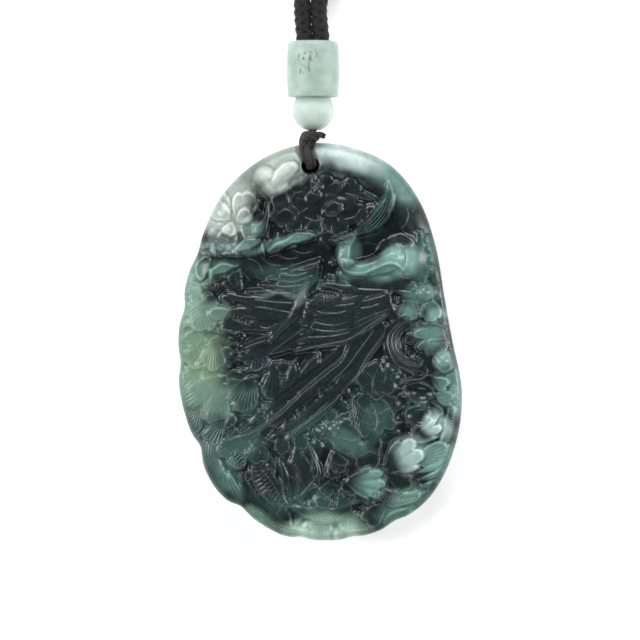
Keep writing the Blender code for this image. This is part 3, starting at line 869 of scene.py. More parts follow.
@dataclass(frozen=True)
class Line:
    """An engraved line finer than the mesh, which the finish draws as bump and painted highlight."""

    height: float
    points: tuple[Flat, ...]

    def carve(self, relief: Relief) -> None:
        """Note the line on what is there.

        Args:
            relief: The relief.
        """
        path = np.array(smooth_path(self.points, 6))
        i = relief.near(path[:, 0], path[:, 1], 0.6)
        spot = lay_beside(path, relief.x[i], relief.y[i])
        relief.draw(i, spot.across, self.height * spot.taper)


@dataclass(frozen=True)
class Hollow:
    """A smooth scooped hollow."""

    x: float
    y: float
    half_width: float
    half_length: float
    turn: float
    depth: float

    def carve(self, relief: Relief) -> None:
        """Scoop the hollow out of what is there.

        Args:
            relief: The relief.
        """
        i, dx, dy = relief.around(self.x, self.y, max(self.half_width, self.half_length) + 1)
        u, v = turned(dx, dy, self.turn)
        e = np.hypot(u / self.half_width, v / self.half_length)
        relief.height[i] -= self.depth * np.clip(1 - e * e, 0, 1) ** 0.7


Form = Petal | Band | Lump | Cup | Ridge | Line | Hollow


OUTLINE = (0.930, 0.902, 0.940, 0.992, 1.016, 1.004, 1.000, 1.004, 1.010, 1.010, 0.984, 0.994,
           1.002, 1.022, 1.020, 1.044, 1.010, 1.010, 1.000, 1.020, 1.054, 1.098, 1.086, 1.032)
NOTCHES = ((153, 0.012), (170, 0.024), (186, 0.020), (212, 0.026), (236, 0.018), (262, 0.012),
           (283, 0.010), (300, 0.012))
NOTCH_SPREAD = 3.5


def outline_share(turn: np.ndarray) -> np.ndarray:
    """How far the outline reaches in each direction.

    Args:
        turn: The directions, in radians.

    Returns:
        The reach as a share of the ellipse.
    """
    place = np.mod(turn / (2 * math.pi), 1.0) * len(OUTLINE)
    first = np.floor(place).astype(int)
    a, b, c, d = (np.take(OUTLINE, first + shift, mode="wrap") for shift in (-1, 0, 1, 2))
    share = through(a, b, c, d, place - first)
    degrees = np.degrees(np.mod(turn, 2 * math.pi))
    for direction, depth in NOTCHES:
        share = share - depth * np.exp(-((degrees - direction) / NOTCH_SPREAD) ** 2)
    return share


@dataclass
class PhoenixCarving:
    """What is carved on the face, in millimetres from its middle, from back to front."""

    seed: int = 11
    spacing: float = 2.1
    stray: float = 0.8
    extent_across: Flat = (-21.5, 21.5)
    extent_along: Flat = (-29.5, 24.0)
    top_limit: float = 0.80
    side_limit: float = 0.99
    low_share: float = 0.5
    calm: tuple[tuple[float, float, float, float], ...] = (
        (-6.0, 10.6, 8.0, 3.6), (5.5, 8.4, 4.6, 1.6), (7.2, 13.6, 3.4, 2.8), (12.6, 18.0, 3.0, 4.0),
        (10.0, 14.8, 4.6, 2.4), (0.0, 0.0, 12.0, 4.0),
        (6.4, 22.0, 4.0, 2.4), (-2.0, 20.0, 9.0, 4.5))

    def foliage(self, relief: Relief) -> list[Form]:
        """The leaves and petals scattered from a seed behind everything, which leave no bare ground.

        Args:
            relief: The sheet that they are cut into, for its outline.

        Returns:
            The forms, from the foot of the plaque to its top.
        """
        rng = np.random.default_rng(self.seed)
        forms: list[Form] = []
        for row in np.arange(*self.extent_along, self.spacing * 0.86):
            for column in np.arange(*self.extent_across, self.spacing):
                x = column + rng.uniform(-self.stray, self.stray)
                y = row + rng.uniform(-self.stray, self.stray)
                turn = math.atan2(y / relief.length, x / relief.width)
                far = 2 * math.hypot(x / relief.width, y / relief.length)
                reach = far / float(outline_share(np.array(turn)))
                limit = self.top_limit if math.sin(turn) > 0.45 else self.side_limit
                calm = any(((x - cx) / a) ** 2 + ((y - cy) / b) ** 2 < 1 for cx, cy, a, b in self.calm)
                if reach > limit or calm:
                    continue
                facing = math.degrees(math.atan2(y + 2, x + 0.5)) + rng.uniform(-60, 60)
                size = rng.uniform(2.0, 3.4)
                lift = rng.uniform(-0.25, 0.12)
                if rng.uniform() < 0.6:
                    spread = rng.uniform(34, 58)
                    lobes, rays = int(rng.integers(2, 5)), int(rng.integers(6, 11))
                    forms.append(Petal(x, y, facing, spread, size, lobes, lift + 0.2, rays=rays, depth=0.008))
                else:
                    bend = rng.uniform(-0.5, 0.5)
                    c, s = math.cos(math.radians(facing)), math.sin(math.radians(facing))
                    ends = ((x - c * size * 0.5, y - s * size * 0.5), (x - s * bend, y + c * bend),
                            (x + c * size * 0.6, y + s * size * 0.6))
                    widths = (0.3, rng.uniform(0.5, 0.95), 0.2)
                    forms.append(Band(widths, lift + 0.1, ends, Cut.LEAF, 0.5, 0.008))
        return forms

    def white_peony(self) -> list[Form]:
        """The pale blossom and bud at the upper left."""
        petals = ((-13.6, 17.6, 128, 56, 4.9, 3, 0.1), (-12.4, 17.8, 62, 50, 4.7, 3, 0.2),
                  (-13.8, 17.0, 186, 50, 4.6, 3, 0.15),
                  (-12.8, 17.2, 246, 50, 3.6, 3, 0.25), (-11.8, 17.4, 320, 50, 3.6, 2, 0.3),
                  (-13.4, 18.0, 140, 56, 3.0, 3, 0.5),
                  (-12.4, 17.8, 30, 54, 2.6, 2, 0.55), (-13.0, 17.6, 250, 56, 2.2, 2, 0.6))
        return [*[Petal(*petal, rays=0, lip=0.1, notch=0.1, trench=0.16, wave=0.3, rim_line=0.07)
                  for petal in petals],
                Lump(-8.1, 24.2, 1.5, 0.75, 0.5, 0.2), Lump(-7.4, 23.2, 1.3, 0.75, 0.45, 0.2),
                Lump(-6.4, 23.4, 1.2, 0.7, 0.45, 0.2),
                Band((0.7, 1.05, 1.15, 0.8), 0.95, ((-6.7, 23.5), (-5.8, 24.5), (-4.9, 25.3), (-4.1, 25.8)),
                     lip=0, crown=0.45, edge=0.5, trench=0.35)]

    def dark_peony(self) -> list[Form]:
        """The dark blossom under the thread hole."""
        outer = ((8, 5.6, 3), (58, 4.8, 2), (104, 4.4, 3), (150, 5.2, 2), (196, 6.0, 3), (236, 5.0, 2),
                 (318, 5.4, 3))
        inner = ((-3.4, 20.6, 150, 3.6, 2), (-4.2, 19.4, 200, 3.4, 3), (-3.0, 18.4, 240, 3.0, 2),
                 (-0.6, 18.6, 262, 3.2, 3), (1.6, 18.2, 310, 3.2, 2), (3.4, 19.4, 350, 3.6, 3),
                 (3.0, 21.4, 40, 3.4, 2), (-1.2, 22.4, 120, 2.6, 2))
        return [
            *[Petal(-0.4, 20.2, turn, 42, reach, lobes, 0.15, rays=0, wave=0.3)
              for turn, reach, lobes in outer],
            *[Petal(x, y, turn, 48, reach, lobes, 0.3, rays=0, wave=0.25)
              for x, y, turn, reach, lobes in inner],
            Cup(-5.9, 21.2, 1.6, 1.4, 30, 0.3, 0.4), Cup(-5.0, 18.3, 1.9, 1.4, 12, 0.35, 0.4),
            Cup(4.5, 18.6, 2.1, 1.4, 15, 0.35, 0.4),
            Band((0.3, 0.5, 0.3), 0.7, ((-1.0, 24.4), (-0.9, 23.4), (-0.3, 22.7), (-0.9, 22.2)), lip=0.05),
            Band((0.25, 0.5, 0.35), 0.9, ((-0.4, 23.3), (-0.2, 22.7), (-0.8, 22.0)), lip=0.05),
            Cup(-1.1, 21.3, 1.2, 0.85, 25, 0.6, 0.35),
            Cup(1.9, 19.6, 1.5, 1.0, 22, 0.8, hollow=0.45, lip=0.2),
            *[Line(0.12, stroke) for stroke in (
                ((-1.6, 23.6), (-0.6, 23.3), (0.2, 22.7)), ((-1.5, 22.8), (-0.6, 22.5), (0.0, 21.9)),
                ((-2.4, 21.4), (-1.4, 21.9), (-0.2, 21.5)), ((0.6, 20.2), (1.8, 20.6), (3.2, 20.0)),
                ((-6.9, 22.4), (-5.6, 22.2), (-4.6, 21.2), (-4.8, 20.0)),
                ((3.6, 21.9), (5.4, 21.4), (7.4, 20.9)),
                ((-2.4, 18.4), (-0.8, 17.8), (0.6, 18.2)), ((-6.4, 18.8), (-5.2, 19.5), (-3.8, 18.8)))],
            Band((0.15, 0.3, 0.2), 0.5, ((1.0, 21.7), (3.0, 20.9), (5.6, 20.2)), lip=0),
            Band((0.15, 0.3, 0.2), 0.5, ((4.4, 22.6), (6.6, 21.8), (8.9, 20.9)), lip=0),
        ]

    def upper_wing(self) -> list[Form]:
        """The lighter and darker feathers of the far wing."""
        low = (
            ((0.9, 1.0, 0.9, 0.5), ((-2.6, 0.9), (-5.4, -0.6), (-8.4, -1.4), (-12.0, -2.6))),
            ((0.9, 1.0, 0.9, 0.5), ((-2.4, 2.2), (-5.2, 0.9), (-8.0, 0.3), (-11.6, -0.6))),
            ((0.9, 1.1, 1.0, 0.5), ((-2.4, 3.6), (-5.4, 2.6), (-8.6, 2.4), (-12.4, 2.2))),
            ((0.9, 1.1, 1.0, 0.5), ((-2.4, 5.0), (-5.6, 4.2), (-9.0, 4.2), (-13.0, 4.6))),
            ((0.8, 1.1, 1.0, 0.4), ((-2.6, 6.4), (-5.8, 5.7), (-9.4, 5.8), (-13.8, 6.9))))
        high = (
            ((0.5, 0.8, 0.7, 0.3), ((-0.8, 9.2), (-2.8, 8.0), (-5.6, 7.2), (-10.6, 7.4))),
            ((0.4, 0.6, 0.5, 0.3), ((-0.6, 9.6), (-2.6, 8.9), (-5.2, 8.2), (-8.6, 8.4))),
            ((0.4, 0.6, 0.5, 0.3), ((-0.5, 10.2), (-2.4, 9.6), (-4.6, 9.2), (-7.4, 9.2))),
            ((0.4, 0.6, 0.5, 0.3), ((-0.4, 10.9), (-2.0, 10.4), (-3.8, 10.1), (-6.0, 10.0))),
            ((0.3, 0.5, 0.4, 0.2), ((-0.2, 11.8), (-1.4, 11.3), (-2.8, 10.9), (-4.4, 10.6))))
        over = ((0.9, 0.9, ((-1.7, 8.9), (-3.3, 7.4), (-3.6, 5.9))),
                (0.7, 0.8, ((-5.0, 3.3), (-6.4, 1.8), (-7.6, 0.9))))
        return [
            *[Band(widths, 0.3 + 0.05 * k, points, tilt=0.15) for k, (widths, points) in enumerate(low)],
            *[Band(widths, 0.6 + 0.1 * k, points, tilt=0.2) for k, (widths, points) in enumerate(high)],
            *[Band((0.2, width, 0.15), lift, points, lip=0.05, crown=0.1) for width, lift, points in over],
        ]

    def near_wing(self) -> list[Form]:
        """The long feathers that fan out to the left from the shoulder, each over the one below."""
        long = (
            (1.0, 0.4, ((10.6, 4.6), (7.0, 2.2), (4.2, 0.8), (0.4, -0.2), (-3.9, -1.2))),
            (1.0, 0.6, ((10.4, 5.0), (7.0, 3.0), (4.0, 1.8), (0.4, 0.9), (-3.0, 0.2))),
            (0.9, 0.6, ((10.4, 5.4), (7.0, 3.8), (3.6, 2.6), (0.4, 2.0), (-2.6, 1.6))),
            (0.9, 0.7, ((10.2, 5.8), (7.0, 4.6), (3.4, 3.6), (0.4, 3.0), (-2.4, 3.0))),
            (0.9, 0.7, ((10.2, 6.4), (7.0, 5.5), (3.4, 4.8), (-1.8, 4.4))),
            (0.9, 0.7, ((10.0, 7.2), (7.0, 6.4), (3.4, 5.9), (-1.4, 5.8))))
        return [
            *[Band((0.5, 0.9, wide, end), 0.45 + 0.1 * k, points, Cut.FEATHER, 0.6, 0.012, tilt=0.2)
              for k, (wide, end, points) in enumerate(long)],
            Band((0.5, 0.7, 0.5), 1.0, ((-0.6, 6.7), (1.0, 6.7), (2.6, 6.6)), lip=0, crown=0.1),
            Band((0.5, 0.9, 0.8, 0.5), 0.9, ((10.2, 8.2), (7.0, 7.7), (4.0, 7.9), (0.6, 8.4)), lip=0.04,
                 crown=0.2),
            Band((0.25, 0.4, 0.4, 0.2), 1.0, ((-0.1, 12.0), (-1.8, 8.9), (-3.4, 5.4), (-4.4, 3.4),
                                              (-7.5, 0.0)),
                 lip=0.06),
        ]

    def tail(self) -> list[Form]:
        """The long flat tail plumes that sweep down to the left, and their curled ends."""
        plumes = (
            ((0.6, 0.9, 0.9, 0.6), 0.3, ((8.6, 3.2), (5.0, 0.4), (2.6, -1.8), (-0.2, -4.2), (-3.4, -6.6),
                                         (-7.4, -9.6))),
            ((0.7, 0.9, 0.9, 0.6), 0.45, ((9.2, 2.2), (5.8, -1.0), (3.2, -3.6), (0.2, -6.3), (-3.6, -9.4),
                                          (-9.0, -13.0))),
            ((0.6, 0.8, 0.8, 0.5), 0.55, ((9.4, 1.4), (6.8, -1.9), (4.4, -4.9), (1.6, -7.7), (-2.0, -10.6),
                                          (-6.6, -13.8))))
        return [
            *[Band(*plume, Cut.LINES, 0.6, 0.014, crown=0.1, tilt=0.12) for plume in plumes],
            Band((0.3, 0.5, 0.5, 0.3), 0.7, ((-3.6, -8.4), (-6.8, -11.0), (-9.8, -13.2), (-14.4, -14.7)),
                 Cut.LINES, 0.35, 0.02),
            Band((0.4, 0.7, 0.6, 0.3), 0.7, ((2.6, -8.3), (-0.4, -11.0), (-3.4, -13.2), (-6.4, -15.6)),
                 crown=0.1),
            Cup(0.3, -7.1, 0.6, 0.5, 20, 0.8, hollow=0.4),
            Petal(-10.6, -14.2, 222, 50, 5.2, 2, 0.6, rays=12),
            Petal(-11.2, -14.4, 256, 30, 4.6, 1, 0.9, rays=8),
            Petal(-9.4, -14.2, 280, 44, 4.0, 2, 0.7, rays=8),
            Cup(-10.0, -16.6, 1.2, 0.95, 0, 1.1, hollow=0.5),
            Cup(-10.1, -16.5, 0.6, 0.5, 0, 1.4, hollow=0.5), Petal(-5.4, -13.8, 262, 50, 3.0, 3, 0.7, rays=0),
        ]

    def left_blossoms(self) -> list[Form]:
        """Petals and lobed leaves down the left edge."""
        return [
            Cup(-18.9, 3.0, 0.8, 0.7, 0, 0.5, hollow=0.3),
            Petal(-17.0, 1.6, 214, 44, 3.8, 2, 0.2, rays=6, depth=0.006),
            Petal(-15.4, 6.6, 236, 48, 5.8, 3, 0.5, rays=12, depth=0.007),
            Cup(-15.0, 4.2, 1.6, 1.0, 10, 1.0, hollow=0.3),
            Petal(-12.9, 4.8, 262, 46, 4.0, 2, 0.7, rays=0),
            Cup(-19.2, -2.6, 0.9, 0.75, 20, 0.5, hollow=0.4),
            Petal(-16.8, -0.6, 226, 44, 4.2, 2, 0.3, rays=6, depth=0.006),
            Petal(-15.4, 0.6, 264, 42, 5.0, 3, 0.6, rays=12, depth=0.010),
            Cup(-17.5, -3.4, 0.75, 0.6, -20, 0.8, hollow=0.4),
            Petal(-9.4, 0.8, 268, 42, 5.2, 3, 0.5, rays=12), Cup(-13.6, -1.6, 0.9, 0.85, 0, 0.5, 0.5),
            Cup(-13.3, -2.9, 0.8, 0.6, 20, 0.5, 0.5),
            Petal(-17.4, -4.2, 215, 42, 4.4, 2, 0.2, rays=8, depth=0.005),
            Petal(-14.0, -4.8, 226, 38, 8.4, 3, 0.7, rays=14, depth=0.007),
            Petal(-14.6, -6.4, 262, 36, 6.2, 1, 1.0, rays=8, depth=0.007),
            Petal(-11.4, -5.8, 204, 44, 2.8, 2, 0.5, rays=6),
            Petal(-10.0, -4.9, 248, 46, 5.8, 3, 0.6, rays=12, depth=0.018),
            Lump(-12.5, -9.2, 0.55, 0.9, 0.5, 0.2), Petal(-6.8, -3.4, 266, 36, 5.2, 1, 0.5, rays=6),
            Band((0.3, 0.9, 0.9, 0.3), 0.5, ((-3.9, -3.2), (-4.1, -4.8), (-4.8, -6.4), (-5.8, -8.0)),
                 Cut.LEAF, 0.45),
            Band((0.3, 0.9, 0.8, 0.2), 0.5, ((-0.4, -1.8), (-1.2, -3.2), (-2.2, -4.4), (-3.4, -5.4)),
                 Cut.LEAF, 0.4),
            Petal(-17.6, -9.3, 240, 46, 4.6, 2, 0.3, rays=10),
            Petal(-14.2, -11.4, 236, 40, 4.4, 2, 0.3, rays=8),
        ]

    def pale_leaves(self) -> list[Form]:
        """The small pale leaves and stems between the blossom and the wing."""
        return [
            Band((0.4, 0.75, 0.6), 0.4, ((-17.5, 14.0), (-16.0, 14.5), (-14.7, 13.9)), tilt=0.1),
            Band((0.45, 0.4, 0.15), 0.45, ((-15.9, 14.2), (-15.8, 13.4), (-15.5, 12.7)), lip=0.06),
            Band((0.45, 0.9, 0.4), 0.45, ((-12.2, 13.7), (-10.8, 14.4), (-9.1, 14.9)), tilt=0.1),
            Lump(-13.7, 13.8, 0.6, 0.4), Lump(-12.7, 13.2, 0.55, 0.4),
            Band((0.25, 0.35, 0.2), 0.4, ((-8.6, 14.3), (-8.5, 13.5), (-8.2, 12.8)), lip=0.05),
            Band((0.45, 0.25), 0.4, ((-14.0, 12.9), (-12.2, 12.5)), lip=0.05),
            Cup(-17.4, 10.9, 1.0, 1.9, -18, 0.4, hollow=0.25, lip=0.14),
            Band((0.45, 0.85, 0.2), 0.55, ((-16.0, 10.2), (-14.4, 10.9), (-12.5, 11.1)), tilt=0.12),
            Band((0.4, 0.3, 0.12), 0.55, ((-16.0, 10.4), (-16.2, 9.4), (-16.3, 8.4)), lip=0.06),
            Band((0.25, 0.4, 0.6, 1.1), 0.4, ((-7.7, 20.6), (-7.8, 19.0), (-8.2, 17.6), (-8.9, 16.4)),
                 lip=0.06),
            Band((0.5, 0.8, 0.5), 0.5, ((-7.4, 13.3), (-6.2, 14.0), (-4.7, 14.7)), tilt=0.12),
            Band((0.45, 0.9, 0.6), 0.45, ((-4.9, 14.8), (-3.3, 15.4), (-1.6, 15.6)), tilt=0.1),
        ]

    def bird(self) -> list[Form]:
        """The phoenix's crest, head, curved neck and breast."""
        return [
            Band((0.35, 0.9, 1.3, 0.9, 0.3), 0.35,
                 ((4.4, 15.7), (6.6, 16.8), (8.9, 18.6), (10.1, 20.9), (9.9, 23.6)),
                 Cut.LINES, 0.4, 0.02, lip=0.05),
            Band((0.3, 0.9, 0.9, 0.3), 0, ((6.9, 16.6), (8.2, 17.7), (9.3, 19.2), (9.9, 20.8)), Cut.LINES,
                 0.42, 0.12, flat=True),
            Hollow(7.0, 13.7, 3.0, 1.9, 20, 0.45),
            Band((0.9, 1.2, 1.3, 1.0), 0.2, ((12.9, 8.4), (9.6, 8.9), (6.0, 9.2), (3.6, 10.2)), lip=0,
                 edge=0.4),
            Lump(12.0, 12.3, 2.9, 0.65, 0.34, 0.6), Lump(13.2, 11.2, 2.2, 0.5, 0.34, 0.6),
            Band((0.75, 1.05, 1.15, 1.35, 1.8), 0.95,
                 ((3.5, 13.3), (3.6, 11.7), (5.6, 10.7), (8.2, 11.2), (10.8, 12.3)),
                 lip=0, crown=0.6, edge=0.5, trench=0.25),
            Band((0.75, 0.8, 0.8), 1.1, ((4.3, 15.2), (3.8, 14.4), (3.5, 13.0)), lip=0, edge=0.4),
            Band((0.15, 0.5, 0.85, 0.75), 1.2, ((1.7, 15.0), (2.5, 14.8), (3.4, 14.9), (4.5, 15.4)),
                 lip=0.06),
            Lump(3.0, 15.2, 0.28, 1.75, 0.7, 0.1),
            Band((0.3, 0.35, 0.2), 0.9, ((3.6, 14.2), (3.2, 13.9), (2.6, 14.2)), lip=0),
            Ridge(0.2, 0.34, ((3.0, 11.4), (3.7, 10.4), (5.6, 10.0), (7.6, 10.6), (9.2, 11.3), (10.6, 11.5),
                              (11.8, 10.9), (12.4, 10.2))),
            Ridge(0.2, 0.2, ((4.4, 13.6), (4.3, 12.4), (5.2, 11.6))),
            Ridge(0.22, 0.1, ((11.3, 12.8), (12.0, 13.8), (13.1, 14.3))),
        ]

    def right_edge(self) -> list[Form]:
        """The frilled leaf, balls and rolled petals down the right edge."""
        frills = ((16.1, 15.0, 0.8, 0.3), (16.3, 13.7, 0.8, 0.3), (16.6, 12.0, 0.85, 0.3),
                  (16.2, 10.6, 0.7, 0.3))
        rings = (((12.7, 3.0), (10.9, 1.4), (10.6, -0.8), (11.9, -2.9), (14.6, -3.9)),
                 ((12.9, 2.6), (11.4, 1.2), (11.1, -0.8), (12.3, -2.6), (15.0, -3.5)),
                 ((13.2, 2.2), (11.9, 1.0), (11.6, -0.8), (12.7, -2.2), (15.4, -3.0)),
                 ((11.9, 3.0), (10.2, 1.2), (10.0, -1.0), (11.4, -3.5), (14.4, -4.5)),
                 ((12.4, -3.9), (13.4, -4.6), (15.2, -4.9)), ((11.4, 3.4), (12.6, 4.0), (14.0, 3.3)))
        return [
            Band((0.6, 1.1, 1.1, 0.6), 0.2, ((14.6, 15.9), (15.1, 13.8), (15.4, 11.6), (15.0, 8.9)), lip=0.06,
                 crown=0.1),
            *[Lump(*frill, soft=0.25) for frill in frills],
            Band((0.6, 0.9, 0.6), 0.3, ((11.0, 8.0), (12.6, 7.4), (13.8, 7.0)), lip=0.05),
            Band((0.5, 0.7, 0.4), 0.4, ((12.2, 8.8), (13.4, 8.2), (14.4, 7.8)), lip=0.05),
            Petal(14.0, 5.6, 284, 50, 2.4, 2, 0.3, rays=0), Lump(15.4, 7.2, 1.5, 0.45, 0.6, 0.2),
            Line(0.16, ((13.8, 6.6), (14.8, 5.7), (16.2, 5.6), (17.1, 6.4))),
            Line(0.14, ((14.2, 5.9), (15.4, 5.2), (16.8, 5.4))),
            Petal(12.7, 6.3, 276, 50, 3.4, 2, 0.3, rays=0, notch=0.1),
            Petal(16.3, 6.4, 268, 58, 3.5, 3, 0.5, rays=0, notch=0.1),
            Band((0.6, 1.3, 1.5, 1.1, 0.5), 0.05, ((12.7, 3.2), (10.9, 1.5), (10.7, -0.9), (12.1, -3.2),
                                                   (15.4, -4.2)),
                 lip=0, crown=0.08), *[Line(0.13, ring) for ring in rings],
                 Hollow(13.2, 0.2, 2.0, 2.6, 12, 0.55),
            Petal(19.6, 1.6, 196, 46, 5.9, 4, 0.3, rays=0, notch=0.32, wave=0.2, trench=0.05),
            Petal(19.4, 0.2, 206, 40, 4.4, 3, 0.3, rays=0, notch=0.3, wave=0.2, trench=0.05),
            Lump(18.3, -2.9, 1.6, 0.35, 0.5, 0.2),
            Ridge(0.2, 0.22, ((16.9, -3.5), (18.2, -4.5), (19.6, -3.7))),
            Line(0.18, ((16.9, -2.3), (17.5, -3.4), (18.7, -3.5))),
            Band((0.25, 0.4, 0.4, 0.2), 0.4, ((11.9, -6.2), (13.2, -5.8), (14.6, -5.7), (15.8, -4.8)),
                 lip=0.06),
            Cup(14.6, -7.6, 2.4, 1.7, -16, 0.25, hollow=0.55, lip=0.06),
            Hollow(15.0, -7.4, 1.4, 1.0, -10, 0.2),
            Line(0.16, ((12.3, -6.6), (12.6, -7.8), (14.0, -9.0), (15.8, -9.2))),
            Line(0.14, ((12.9, -6.4), (14.6, -6.1), (16.4, -6.9))),
            Cup(12.2, -8.8, 1.2, 1.2, 20, 0.15, hollow=0.35, lip=0.06),
            Petal(16.4, -5.4, 330, 46, 2.8, 2, 0.3, rays=0), Petal(16.8, -7.6, 335, 44, 3.0, 2, 0.25, rays=0),
            Petal(16.0, -8.8, 305, 40, 3.0, 2, 0.3, rays=0),
            Cup(14.4, -10.9, 2.0, 1.6, -8, 0.3, hollow=0.5, lip=0.08),
            Line(0.16, ((12.4, -10.2), (12.8, -11.8), (14.6, -12.6), (16.0, -11.9))),
            Line(0.2, ((16.9, 10.4), (17.3, 8.6), (18.0, 6.6), (18.3, 4.6), (18.2, 2.6), (18.9, 0.6),
                       (19.6, -1.2))),
            Line(0.18, ((17.4, 8.6), (18.1, 7.0), (18.2, 5.2))),
        ]

    def low_blossom(self) -> list[Form]:
        """The blossom right of the middle, the pearls and the kite-shaped leaf."""
        knobs = ((10.0, -4.2, 0.8, 0.8), (10.7, -5.4, 0.8, 0.7), (10.5, -6.8, 0.9, 0.6))
        pearls = ((0.3, -13.2, 0.85, 0.7), (2.0, -12.9, 1.0, 0.8), (3.6, -11.9, 0.9, 0.7))
        return [
            Petal(9.0, -2.4, 330, 40, 3.6, 2, 0.5, rays=0), Petal(8.4, -2.6, 250, 44, 5.4, 3, 0.7, rays=0),
            Petal(9.0, -3.2, 274, 40, 5.0, 2, 0.9, rays=0), *[Lump(*knob, squash=0.5) for knob in knobs],
            Petal(8.4, -7.6, 316, 40, 4.4, 2, 0.5, rays=10), Petal(7.4, -7.0, 290, 32, 7.0, 2, 0.7, rays=12),
            Petal(6.4, -7.0, 268, 36, 7.2, 3, 0.9, rays=14),
            Ridge(0.3, -0.6, ((4.5, -7.0), (4.6, -10.0), (5.2, -12.6), (6.2, -14.4))),
            Petal(2.2, -19.8, 64, 40, 4.4, 3, 0.2, rays=8), Petal(0.4, -13.4, -22, 36, 5.8, 1, 0.7, rays=0),
            Petal(0.8, -13.0, -8, 26, 5.2, 1, 0.9, rays=0),
            *[Lump(*pearl, squash=0.7, soft=0.15) for pearl in pearls],
            Petal(8.6, -14.2, 238, 46, 5.4, 3, 0.3, rays=14), Petal(1.6, -16.2, 300, 44, 3.6, 3, 0.5, rays=6),
        ]

    def bright_lobes(self) -> list[Form]:
        """The bright lobed leaves at the lower right."""
        ribs = (((14.4, -19.3), (18.0, -17.6)), ((14.6, -20.4), (18.4, -18.6)),
                ((14.9, -21.3), (17.9, -20.2)))
        return [
            Band((0.6, 1.2, 1.0, 0.5), 0.2, ((19.3, -9.8), (19.4, -11.8), (18.9, -13.4), (17.9, -15.0)),
                 Cut.LEAF, 0.45),
            Petal(13.8, -17.8, 14, 46, 5.6, 2, 0.4, rays=12),
            Petal(12.8, -15.0, 34, 36, 5.6, 4, 0.6, rays=0, notch=0.2, wave=0.55, lip=0.04),
            *[Band((0.25, 0.5, 0.35), 0.3, (a, ((a[0] + b[0]) / 2, (a[1] + b[1]) / 2 - 0.25), b), lip=0.06)
              for a, b in ribs],
            Petal(9.2, -19.2, 36, 46, 6.6, 4, 0.8, rays=0, notch=0.16, wave=0.65, lip=0.04),
            Petal(9.8, -19.4, -30, 40, 4.2, 3, 0.3, rays=10),
            Petal(3.6, -20.6, -4, 48, 5.9, 5, 0.5, rays=0, notch=0.18, wave=0.5, lip=0.04),
            Band((0.3, 0.6, 0.4), 0.3, ((9.2, -21.8), (11.2, -22.5), (13.2, -23.2)), lip=0.08),
            Band((0.3, 0.6, 0.4), 0.3, ((12.8, -22.6), (14.2, -23.3), (15.4, -22.4)), lip=0.08),
            Band((0.4, 1.3, 0.8), 0.35, ((8.0, -22.6), (10.6, -23.2), (14.4, -22.8)), Cut.LEAF, 0.45, 0.03),
            Petal(9.8, -23.8, 222, 40, 4.6, 2, 0.2, rays=12),
            Band((0.3, 0.7, 0.7, 0.3), 0.25, ((9.4, -26.8), (11.0, -25.6), (13.4, -25.0), (15.4, -24.0)),
                 Cut.LINES, 0.4),
            Hollow(5.8, -24.6, 1.4, 0.9, 0, 0.5),
        ]

    def low_leaves(self) -> list[Form]:
        """The long leaves along the bottom and the lower left."""
        leaf, lines = Cut.LEAF, Cut.LINES
        return [
            Petal(-4.6, -24.6, 236, 44, 4.6, 3, 0.25, rays=8, depth=0.008),
            Petal(0.4, -25.0, 262, 52, 4.0, 4, 0.3, rays=10, depth=0.008),
            Petal(4.6, -24.6, 292, 46, 4.6, 3, 0.25, rays=8, depth=0.008),
            Band((0.3, 0.9, 1.1, 0.9, 0.3), 0.55, ((-4.6, -24.2), (-2.0, -25.2), (0.8, -25.6), (3.4, -25.1),
                                                   (5.8, -23.6)),
                 leaf, 0.55, 0.012, crown=0.25),
            Band((0.4, 1.5, 1.6, 0.5), 0.5, ((-3.7, -15.7), (-3.1, -17.8), (-2.3, -20.2), (-3.2, -23.4)),
                 leaf, 0.45),
            Band((0.25, 0.5, 0.35), 0.6, ((-1.6, -15.4), (-0.9, -17.2), (-0.2, -19.4), (-0.3, -20.4)),
                 tilt=0.1),
            Band((0.15, 0.4, 0.25), 0.6, ((-3.3, -22.2), (-1.9, -21.9), (-0.6, -21.3))),
            Band((0.8, 1.7, 1.8, 0.4), 0.6, ((-9.6, -17.4), (-8.6, -19.8), (-7.2, -22.0), (-5.1, -24.4)),
                 Cut.HATCH, 0.6, 0.03),
            Band((0.3, 0.6, 0.4), 0.4, ((-6.0, -17.6), (-5.4, -19.6), (-4.9, -21.4))),
            Band((0.6, 1.4, 1.6, 1.2), 0.3, ((-15.4, -13.2), (-16.4, -15.4), (-16.3, -17.8), (-15.2, -20.0)),
                 lines, 0.4),
            Band((0.7, 1.1, 1.1, 0.4), 0.1, ((-15.0, -20.6), (-14.0, -22.4), (-12.8, -23.9), (-11.4, -25.0)),
                 lines, 0.4),
            Band((0.4, 1.0, 1.0, 0.4), 0.1, ((-16.4, -19.6), (-15.0, -21.9), (-13.2, -24.0), (-10.8, -26.0)),
                 lines, 0.5, 0.02),
            Band((0.5, 0.9, 1.0, 0.6), 0.4, ((-13.6, -19.8), (-12.4, -22.2), (-10.6, -24.4), (-7.4, -26.6)),
                 lines, 0.5, 0.02, tilt=0.15),
            Band((0.4, 0.9, 1.1, 0.6), 0.4, ((-11.8, -19.6), (-10.6, -22.4), (-8.4, -25.0), (-4.6, -27.4)),
                 lines, 0.5, 0.02, tilt=0.15),
            Band((0.3, 0.8, 0.9, 0.4), 0.25, ((-9.6, -25.6), (-7.4, -26.9), (-4.8, -27.9), (-2.0, -28.4)),
                 lines, 0.45, 0.02),
            Band((0.3, 0.9, 0.9, 0.3), 0.2, ((4.0, -27.9), (6.4, -27.6), (8.8, -26.8), (11.2, -25.6)), lines,
                 0.45, 0.02),
        ]

    def fine_lines(self) -> list[Form]:
        """The thin raised lines that catch the light: feather edges, petal rims and barbs."""
